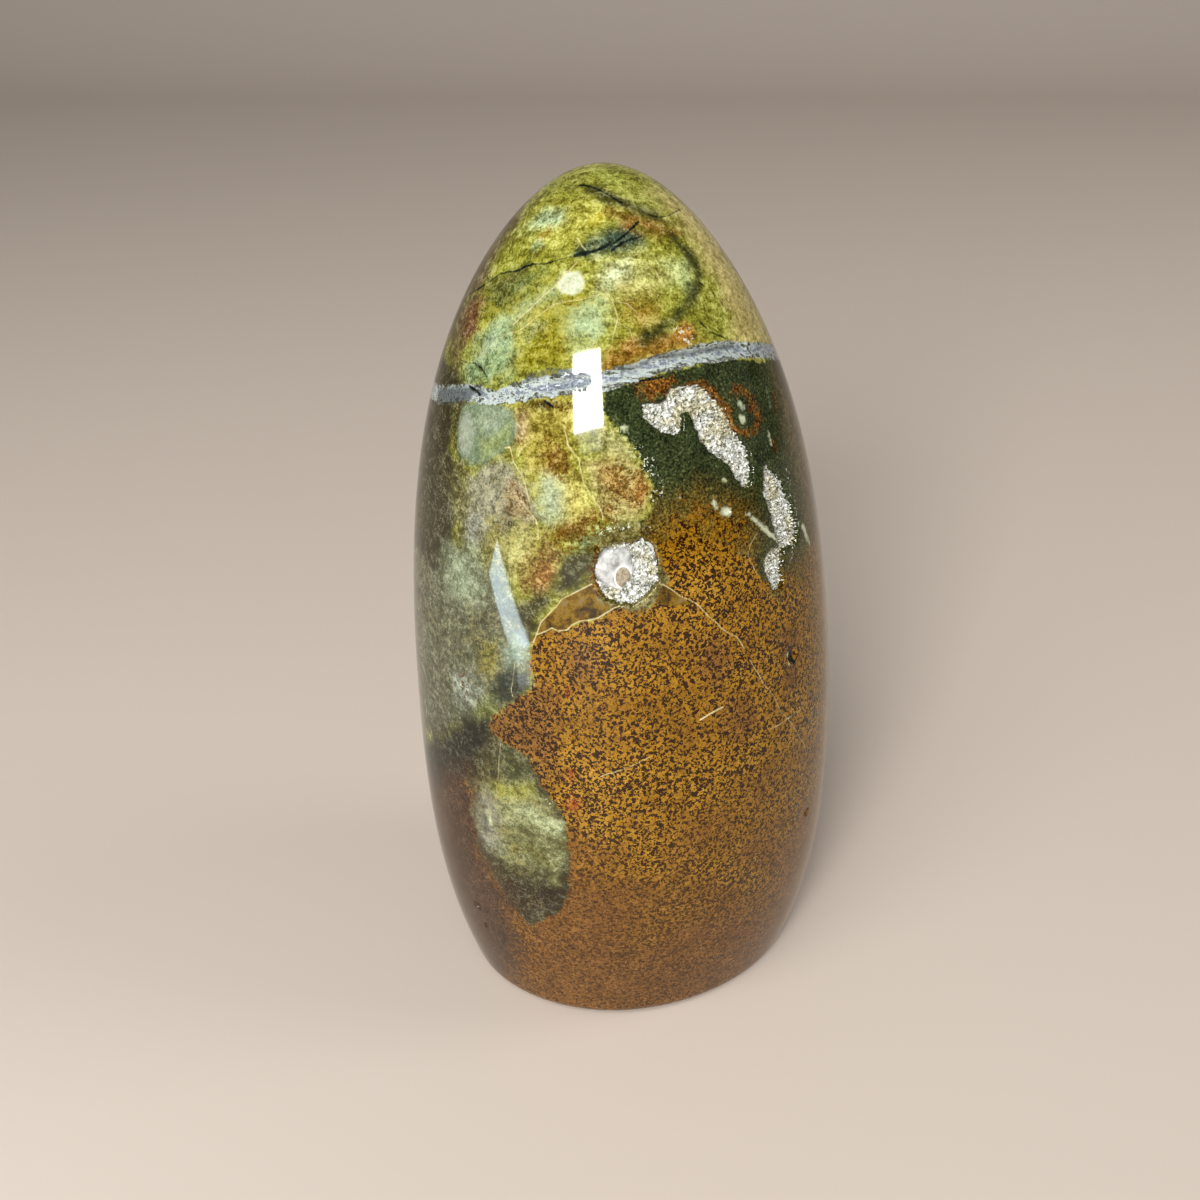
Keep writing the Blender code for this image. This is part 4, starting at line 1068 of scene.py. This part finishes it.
def polishedOpal():
    material, shader = newMaterial("polished green opal")
    tree = material.node_tree
    make = NodeMaker(tree)
    place = make.placeInMm()
    noises = {name: make.noise(place, *values) for name, values in stoneNoises.items()}
    for name, (angle, stretch, values) in drawnNoises.items():
        turned = make.add("ShaderNodeMapping", {"Vector": place, "Rotation": (0, math.radians(angle), 0),
                                                "Scale": (1 / stretch, 1, 1)})
        noises[name] = make.noise(turned, *values)

    def mixed(weights):
        return make.mixed(*[(noises[name], weight) for name, weight in weights.items()])

    def shakenBy(value, weights):
        return make.plus(value, make.less(mixed(weights), 0.5))

    # How far inside a zone a point is, 0 to 1, with an edge shaken by the noises
    def zone(name, soft, shakeWide, shakeFine):
        weights = {"clouds": shakeWide * edgeSwing, "mottle": shakeFine * edgeSwing}
        return make.ramp(shakenBy(make.attribute(name), weights), soft, -soft)

    def tonesOf(name):
        values = stoneZones[name]
        if len(values["tones"]) == 1:
            return colour(*values["tones"][0])
        span = values.get("span", patternSpan)
        return make.tones(mixed(values["noises"]), *span, *values["tones"])

    def shareOf(name):
        values = stoneZones[name]
        return make.times(zone(name, *values["edge"]), values.get("strength", 1))

    def cover(under, *names):
        for name in names:
            under = make.blend(shareOf(name), under, tonesOf(name))
        return under

    # Flecks of the writing noise
    def fleck(under, name):
        values = stoneZones[name]
        grown = make.times(zone(name, *values["outer"]), values["grow"])
        share = make.ramp(make.plus(noises["writing"], grown), *values["limits"])
        share = make.times(share, zone(name, *values["inner"]))
        return make.blend(make.times(share, values.get("strength", 1)), under, tonesOf(name))

    # The washes, broken up into deeper, paler and ochre grains, and crossed by pale threads
    washed = make.attribute("washes", "Color")
    grainy = make.attribute("washes", "Alpha")
    value = mixed(washLook["grains"])
    deep = make.blend(1.0, washed, washLook["deep"]["times"], "MULTIPLY")
    pale = make.blend(1.0, washed, washLook["pale"]["times"], "MULTIPLY")
    pale = make.blend(washLook["pale"]["share"], pale, colour(*washLook["pale"]["towards"]))
    ochre = washLook["ochre"]
    yellow = make.blend(ochre["share"], washed, colour(*ochre["towards"]))
    look = make.blend(make.times(grainy, make.ramp(value, *washLook["deep"]["span"])), washed, deep)
    look = make.blend(make.times(grainy, make.ramp(value, *washLook["pale"]["span"])), look, pale)
    yellowed = make.times(make.ramp(mixed(ochre["noises"]), *ochre["span"]), ochre["strength"])
    look = make.blend(make.times(yellowed, grainy), look, yellow)
    for values in (washLook["threads"], washLook["web"]):
        thread = make.ramp(make.apart(noises[values["of"]], values["middle"]), *values["span"])
        where, *places = values["where"]
        thread = make.times(thread, make.ramp(noises[where], *places))
        look = make.blend(make.times(thread, values["strength"]), look, pale)
    look = fleck(look, "rustFlecks")

    # The moss green, which turns olive and gold towards the jasper
    turning = make.ramp(shakenBy(make.attribute("jasper"), mossTurn["shake"]), *mossTurn["span"])
    turning = make.times(turning, make.ramp(make.attribute("softEdge"), *mossTurn["away"]))
    moss = make.blend(turning, tonesOf("moss"), tonesOf("mossLow"))
    look = make.blend(shareOf("moss"), look, moss)

    # The jasper: gold ground, finely written over with dark specks, browner and quieter below, its
    # darkening there partly painted shade
    upward = make.add("ShaderNodeSeparateXYZ", {0: place}, "Z")
    shadeAndQuietBelow = make.ramp(shakenBy(upward, jasperLook["fallShake"]), *jasperLook["shadeAndQuietBelow"])
    dull = make.maths("MAXIMUM", shadeAndQuietBelow, shareOf("dull"))
    ground = make.blend(dull, tonesOf("jasper"), tonesOf("jasperDullAndShadedLow"))
    speck = make.less(noises["writing"], mixed(jasperLook["density"]))
    speck = make.ramp(speck, *jasperLook["speckSpan"])
    speck = make.times(speck, make.ramp(shadeAndQuietBelow, *jasperLook["speckFade"]))
    jasper = cover(make.blend(speck, ground, tonesOf("jasperSpeck")), "red")
    reach = make.ramp(make.attribute("softEdge"), *jasperLook["softReach"])
    softened = make.maths("DIVIDE", make.attribute("jasper"),
                          make.maths("MULTIPLY_ADD", reach, jasperLook["softer"], 1))
    edge = shakenBy(softened, jasperLook["shake"])
    look = make.blend(make.ramp(edge, jasperLook["edge"], -jasperLook["edge"]), look, jasper)

    # over the washes go the brown (partly painted shade), the rust, the tan rim (a painted reflection),
    # the lens, and the chalk (with one painted highlight)
    look = cover(look, "brown", "rust", "tanRimReflection", "lens", "chalkAndPaintedGlint")
    look = fleck(look, "flecks")

    across = shakenBy(make.attribute("vein"), veinLook["shake"])
    vein = make.tones(make.maths("DIVIDE", across, veinLook["depth"]), 0.0, 1.0, *veinLook["bands"])
    grains = make.blend(veinLook["grainShare"], vein, colour(*veinLook["grainTone"]))
    vein = make.blend(make.ramp(noises["grain"], *veinLook["grains"]), vein, grains)
    look = make.blend(zone("vein", *veinLook["edge"]), look, vein)
    look = cover(look, "veinDark", "darkLine", "paleLine")

    tree.links.new(look, shader.inputs["Base Color"])
    shader.inputs["Roughness"].default_value = polish["Roughness"]
    shader.inputs["IOR"].default_value = polish["IOR"]
    return material


# The crusts in mm: size of their faces, how far they grow into the wall, how deep their lumpy
# bed and their back lie. The middle one is smooth in part, with an eye: middles and half sizes.
crustShape = {
    "cell": 0.28,
    "overlap": 0.15,
    "bottom": 2.5,
    "top": 0.95,
    "least": 0.35,
    "lumps": 0.45,
    "lumpSize": 1.3,
    "lumpLayers": 4,
    "smoothDepth": 0.12,
    "smooth": ((-1.5, 0.7), (2.9, 3.5)),
    "smoothEdge": 0.6,
    "smoothShake": 0.8,
    "smoothShakeSize": 1.5,
    "eye": ((-0.15, -0.7), (1.3, 1.8)),
    "castFrom": 4,
    "castTo": 16,
}


# Under 0 inside an oval and over 0 outside, about in mm
def toOval(flat, middle, halfSizes):
    scaled = (flat - middle) / halfSizes
    return (np.linalg.norm(scaled, axis=1) - 1) * min(halfSizes)


# The crust of a hollow: a bumpy bed for its crystals, closed below
def crustMesh(name, hollow):
    origin, right, up, outwards = frontFrame(*hollow["middle"])
    outline = np.array(hollow["outline"])
    cell = crustShape["cell"]
    low = outline.min(0) - 2 * cell
    columns, rows = np.ceil((outline.max(0) + 2 * cell - low) / cell).astype(int)
    x, y = np.meshgrid(np.arange(columns + 1) * cell + low[0], np.arange(rows + 1) * cell + low[1])
    flat = np.stack([x.ravel(), y.ravel()], -1)
    start = origin + right * flat[:, :1] + up * flat[:, 1:] + outwards * crustShape["castFrom"]
    skin = meetSkin(start, np.broadcast_to(-outwards, start.shape), 0, crustShape["castTo"])
    edge = insideHollow(skin, hollow)
    lumps = noiseAt(skin, crustShape["lumpSize"], crustShape["lumpLayers"]) * crustShape["lumps"]
    depth = np.maximum(crustShape["top"] - lumps, crustShape["least"])
    bare = np.zeros(len(flat))
    if hollow is hollows["centre"]:
        shake = noiseAt(skin, crustShape["smoothShakeSize"]) * crustShape["smoothShake"]
        ragged = toOval(flat, *crustShape["smooth"]) + shake
        bare = np.clip(0.5 - ragged / crustShape["smoothEdge"], 0, 1)
        depth = depth + (crustShape["smoothDepth"] - depth) * bare
    bed = skin - outwards * depth[:, None]
    work = bmesh.new()
    bareLayer = work.verts.layers.float.new("bare")
    eyeLayer = work.verts.layers.float.new("eye")
    verts = [work.verts.new(point * mm) for point in bed]
    for vert, bareness, away in zip(verts, bare, toOval(flat, *crustShape["eye"])):
        vert[bareLayer] = bareness
        vert[eyeLayer] = away
    across = columns + 1
    for row in range(rows):
        for column in range(columns):
            corners = [row * across + column, row * across + column + 1,
                       (row + 1) * across + column + 1, (row + 1) * across + column]
            if edge[corners].mean() > -crustShape["overlap"]:
                work.faces.new([verts[corner] for corner in corners])
    bmesh.ops.delete(work, geom=[vert for vert in verts if not vert.link_faces], context="VERTS")
    made = bmesh.ops.extrude_face_region(work, geom=work.faces[:])["geom"]
    down = Vector(outwards)
    for item in made:
        if isinstance(item, bmesh.types.BMVert):
            item.co -= down * (crustShape["bottom"] - crustShape["top"]) * mm
    bmesh.ops.recalc_face_normals(work, faces=work.faces)
    mesh = bpy.data.meshes.new(name)
    work.to_mesh(mesh)
    work.free()
    return mesh, outwards


# What the tree that grows the crystals is given, and their own form: a cone that is made wider
# and higher at its middle ring, and sunk into the bed. They grow where the face looks outwards
# and isn't bare, up to so many in a square metre, and "turn" is one full turn.
crystals = {"Spacing": 0.5 * mm, "Smallest": 0.22 * mm, "Largest": 0.42 * mm, "Lean": 0.5}
crystalForm = {"sides": 6, "radius": 0.5, "length": 2.4, "shoulder": (2, 2, 1.4), "sunk": -0.8,
               "outwards": 0.3, "bare": 0.35, "mostInArea": 2e7, "turn": 6.3}


def crystalTree():
    tree = bpy.data.node_groups.new("grow crystals", "GeometryNodeTree")
    face = tree.interface
    face.new_socket("Geometry", in_out="OUTPUT", socket_type="NodeSocketGeometry")
    sockets = {"Geometry": "Geometry", **dict.fromkeys(crystals, "Float"), "Outwards": "Vector",
               "Seed": "Int", "Material": "Material"}
    for name, kind in sockets.items():
        face.new_socket(name, in_out="INPUT", socket_type="NodeSocket" + kind)
    make = NodeMaker(tree)
    given = tree.nodes.new("NodeGroupInput").outputs
    facing = make.add("ShaderNodeVectorMath", {0: make.add("GeometryNodeInputNormal"),
                                               1: given["Outwards"]}, "Value", operation="DOT_PRODUCT")
    outer = make.compare("GREATER_THAN", facing, crystalForm["outwards"])
    bare = make.add("GeometryNodeInputNamedAttribute", {"Name": "bare"}, data_type="FLOAT")
    rough = make.compare("LESS_THAN", bare, crystalForm["bare"])
    chosen = make.add("FunctionNodeBooleanMath", {0: outer, 1: rough}, operation="AND")
    scatter = tree.nodes.new("GeometryNodeDistributePointsOnFaces")
    scatter.distribute_method = "POISSON"
    scatter.inputs["Density Max"].default_value = crystalForm["mostInArea"]
    for name, value in {"Mesh": given["Geometry"], "Selection": chosen,
                        "Distance Min": given["Spacing"], "Seed": given["Seed"]}.items():
        tree.links.new(value, scatter.inputs[name])
    length = crystalForm["length"]
    cone = make.add("GeometryNodeMeshCone", {
        "Vertices": crystalForm["sides"], "Side Segments": 2, "Radius Top": 0.0,
        "Radius Bottom": crystalForm["radius"], "Depth": length})
    spot = make.add("GeometryNodeInputPosition")
    height = make.add("ShaderNodeSeparateXYZ", {0: spot}, "Z")
    closeBy = length / 24
    isMiddle = make.compare("LESS_THAN", make.apart(height, length / 2), closeBy)
    wider = make.add("ShaderNodeVectorMath", {0: spot, 1: crystalForm["shoulder"]},
                     operation="MULTIPLY")
    shaped = make.add("GeometryNodeSetPosition", {"Geometry": cone, "Selection": isMiddle,
                                                  "Position": wider})
    lowered = make.add("GeometryNodeTransform", {
        "Geometry": shaped, "Translation": (0, 0, crystalForm["sunk"])})

    def dice(kind, low, high, seed):
        made = tree.nodes.new("FunctionNodeRandomValue")
        made.data_type = kind
        wanted = {"Min": low, "Max": high, "Seed": seed}
        for socket in made.inputs:
            if socket.enabled and socket.name in wanted:
                value = wanted[socket.name]
                if isinstance(value, bpy.types.NodeSocket):
                    tree.links.new(value, socket)
                else:
                    socket.default_value = value
        return next(socket for socket in made.outputs if socket.enabled)

    def leaning(lean, turn):
        return make.add("ShaderNodeCombineXYZ", {0: lean, 1: lean, 2: turn})

    upright = make.add("FunctionNodeAlignRotationToVector", {"Vector": scatter.outputs["Normal"]})
    lean = dice("FLOAT_VECTOR", leaning(make.times(given["Lean"], -1.0), 0.0),
                leaning(given["Lean"], crystalForm["turn"]), 1)
    turned = make.add("FunctionNodeRotateRotation", {0: upright, 1: lean}, rotation_space="LOCAL")
    size = dice("FLOAT", given["Smallest"], given["Largest"], 2)
    grown = make.add("GeometryNodeInstanceOnPoints", {
        "Points": scatter.outputs["Points"], "Instance": lowered, "Rotation": turned, "Scale": size})
    real = make.add("GeometryNodeRealizeInstances", {"Geometry": grown})
    joined = make.add("GeometryNodeJoinGeometry", {0: real})
    tree.links.new(given["Geometry"], joined.node.inputs[0])
    finished = make.add("GeometryNodeSetMaterial", {"Geometry": joined, "Material": given["Material"]})
    tree.links.new(finished, tree.nodes.new("NodeGroupOutput").inputs[0])
    return tree


def growCrystals(piece, tree, outwards, seed, material):
    modifier = piece.modifiers.new("crystals", "NODES")
    modifier.node_group = tree
    values = {**crystals, "Outwards": tuple(outwards), "Seed": seed, "Material": material}
    for item in tree.interface.items_tree:
        if item.in_out == "INPUT" and item.name in values:
            modifier[item.identifier] = values[item.name]
    bpy.context.view_layer.update()
    evaluated = piece.evaluated_get(bpy.context.evaluated_depsgraph_get())
    grown = bpy.data.meshes.new_from_object(evaluated)
    piece.modifiers.remove(modifier)
    piece.data = grown


# The crystals' colours: noises as size in mm, detail and roughness, spans, and tones from deep
# to pale. "milky" is the smooth part of the middle crust, "eye" the brown spot in it.
druseLook = {
    "grain": (0.6, 4, 0.7),
    "patchy": (4, 3, 0.5),
    "patchySpan": (0.45, 0.65),
    # the deepest crystal tone gives dark specks, partly painted shade standing for the gaps between the
    # crystals
    "crystals": (0.36, 0.62, (78, 76, 54), (152, 152, 138), (204, 206, 200), (240, 240, 240)),
    "tint": (238, 230, 204),
    "bareSpan": (0.3, 0.7),
    "milkyNoise": (1.4, 4, 0.6),
    "milky": (0.35, 0.65, (128, 128, 126), (168, 168, 164), (200, 200, 196)),
    "eye": (0.35, 0.65, (120, 108, 88), (168, 158, 138)),
    "eyeSpan": (0.02, -0.05),
    "ring": (222, 222, 214),
    "ringSpan": (0.16, 0.06),
    "roughness": 0.3,
    "bareRoughness": 0.1,
}


def quartzDruse():
    material, shader = newMaterial("quartz druse")
    tree = material.node_tree
    make = NodeMaker(tree)
    place = make.placeInMm()
    grain = make.noise(place, *druseLook["grain"])
    patchy = make.ramp(make.noise(place, *druseLook["patchy"]), *druseLook["patchySpan"])
    look = make.tones(grain, *druseLook["crystals"])
    tinted = make.blend(1.0, look, colour(*druseLook["tint"]), "MULTIPLY")
    look = make.blend(patchy, look, tinted)
    bare = make.ramp(make.attribute("bare"), *druseLook["bareSpan"])
    milky = make.tones(make.noise(place, *druseLook["milkyNoise"]), *druseLook["milky"])
    eye = make.attribute("eye")
    ring = make.ramp(make.maths("ABSOLUTE", eye), *druseLook["ringSpan"])
    milky = make.blend(make.ramp(eye, *druseLook["eyeSpan"]), milky,
                       make.tones(grain, *druseLook["eye"]))
    milky = make.blend(ring, milky, colour(*druseLook["ring"]))
    look = make.blend(bare, look, milky)
    tree.links.new(look, shader.inputs["Base Color"])
    smoother = druseLook["bareRoughness"] - druseLook["roughness"]
    roughness = make.maths("MULTIPLY_ADD", bare, smoother, druseLook["roughness"])
    tree.links.new(roughness, shader.inputs["Roughness"])
    return material


def buildDruses():
    tree = crystalTree()
    material = quartzDruse()
    pieces = []
    for seed, (name, hollow) in enumerate(hollows.items(), start=1):
        mesh, outwards = crustMesh("druse_" + name, hollow)
        piece = newPiece("druse_" + name + "_crystals", mesh, material)
        growCrystals(piece, tree, outwards, seed, material)
        piece.data.name = piece.name
        pieces.append((piece, "druse_" + name))
        print("crystals of the", name, "hollow:", len(piece.data.polygons), "faces")
    return pieces


studio = {
    "floorSize": 6.0,
    "backdropAt": 1.1,
    "bendRadius": 0.5,
    "bendSteps": 12,
    "floorColour": (206, 194, 182),
    "floorRoughness": 0.6,
    "worldColour": (0.93, 0.96, 1.0, 1),
    "worldStrength": 0.2,
}


def buildStudio():
    size, start, radius = studio["floorSize"], studio["backdropAt"], studio["bendRadius"]
    floor = bmesh.new()
    profile = [(-size, 0), (start, 0)]
    for step in range(1, studio["bendSteps"] + 1):
        turn = math.radians(90) * step / studio["bendSteps"]
        profile.append((start + radius * math.sin(turn), radius * (1 - math.cos(turn))))
    profile.append((start + radius, size))
    rows = [[floor.verts.new((x, y, z)) for y, z in profile] for x in (-size, size)]
    for step in range(len(profile) - 1):
        floor.faces.new((rows[0][step], rows[1][step], rows[1][step + 1], rows[0][step + 1]))
    mesh = bpy.data.meshes.new("floor")
    floor.to_mesh(mesh)
    floor.free()
    mesh.shade_smooth()
    material, shader = newMaterial("pale floor")
    shader.inputs["Base Color"].default_value = colour(*studio["floorColour"])
    shader.inputs["Roughness"].default_value = studio["floorRoughness"]
    newPiece("floor", mesh, material)

    world = bpy.data.worlds.new("soft studio")
    world.use_nodes = True
    background = world.node_tree.nodes["Background"]
    background.inputs["Color"].default_value = studio["worldColour"]
    background.inputs["Strength"].default_value = studio["worldStrength"]
    bpy.context.scene.world = world


# Broad lamps: place, what they face, size and watts. They light softly, and don't show in the polish.
softLamps = {
    "soft": ((-0.35, -0.7, 0.95), (0, 0, 0.075), 0.9, 6.0),
    "backdrop": ((0.9, 0.0, 0.8), (0.5, 1.2, 0.2), 0.8, 4.0),
}

# Lamps that show in the polish where the photograph has a highlight: the corners of the
# highlight are mirrored out into the room, to a distance in metres
highlights = {
    "key": {"corners": [(571, 352), (602, 352), (602, 430), (576, 430)], "distance": 1.2,
            "radiance": 29, "tint": (1, 1, 1)},
    "keyEdge": {"corners": [(577, 430), (602, 430), (600, 452), (581, 452)], "distance": 1.2,
                "radiance": 3, "tint": (0.9, 1, 0.95)},
    "low": {"corners": [(486, 556), (500, 556), (531, 660), (520, 664)], "distance": 0.24,
            "radiance": 9, "tint": (0.72, 0.9, 1)},
    "lowEdge": {"corners": [(512, 620), (530, 640), (532, 690), (520, 680)], "distance": 0.15,
                "radiance": 2.5, "tint": (0.85, 0.9, 1)},
}


def newLamp(name, shape, width, watts):
    data = bpy.data.lights.new(name, "AREA")
    data.shape = shape
    data.size = width
    data.energy = watts
    return addObject(name, data)


def buildSoftLamps():
    for name, (place, faced, size, watts) in softLamps.items():
        lamp = newLamp(name, "DISK", size, watts)
        lamp.location = place
        lamp.rotation_euler = (Vector(faced) - Vector(place)).to_track_quat("-Z", "Y").to_euler()
        lamp.visible_glossy = False


def buildHighlights():
    for name, highlight in highlights.items():
        points = skinAtPixels(highlight["corners"])
        normals = skinNormals(points)
        looks = points - np.array(photoCamera["eye"])
        looks /= np.linalg.norm(looks, axis=1, keepdims=True)
        mirrored = looks - 2 * (looks * normals).sum(1, keepdims=True) * normals
        corners = points * mm + mirrored * highlight["distance"]
        middle = Vector(corners.mean(0))
        across = Vector((corners[1] + corners[2] - corners[0] - corners[3]) / 2)
        along = Vector((corners[0] + corners[1] - corners[2] - corners[3]) / 2)
        towards = (Vector(points.mean(0) * mm) - middle).normalized()
        upright = (along - along.dot(towards) * towards).normalized()
        watts = highlight["radiance"] * math.pi * across.length * along.length
        lamp = newLamp(name, "RECTANGLE", across.length, watts)
        lamp.data.size_y = along.length
        lamp.data.color = highlight["tint"]
        aside = upright.cross(-towards)
        turn = Matrix((aside, upright, -towards)).transposed().to_4x4()
        lamp.matrix_world = Matrix.Translation(middle) @ turn
        print("lamp", name, [round(value, 3) for value in middle], "watts", round(watts, 2))


def buildCamera():
    data = bpy.data.cameras.new("camera")
    data.sensor_width = photoCamera["sensor"]
    data.lens = photoCamera["sensor"] * photoCamera["focalPixels"] / photoCamera["pictureWidth"]
    data.clip_start = photoCamera["clipStart"] * mm
    camera = addObject("camera", data)
    camera.location = Vector(photoCamera["eye"]) * mm
    camera.rotation_euler = (math.radians(90 - photoCamera["lookDown"]), 0, 0)
    scene = bpy.context.scene
    scene.camera = camera
    scene.view_settings.view_transform = "Standard"
    scene.view_settings.look = "Medium High Contrast"


stone = buildStone()
print("stone:", len(stone.data.vertices), "vertices,", len(stone.data.polygons), "faces")
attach(stone, "root")
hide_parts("stone")
for piece, node in buildDruses():
    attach(piece, "root")
    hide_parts(node)
buildCamera()
buildStudio()
buildSoftLamps()
buildHighlights()
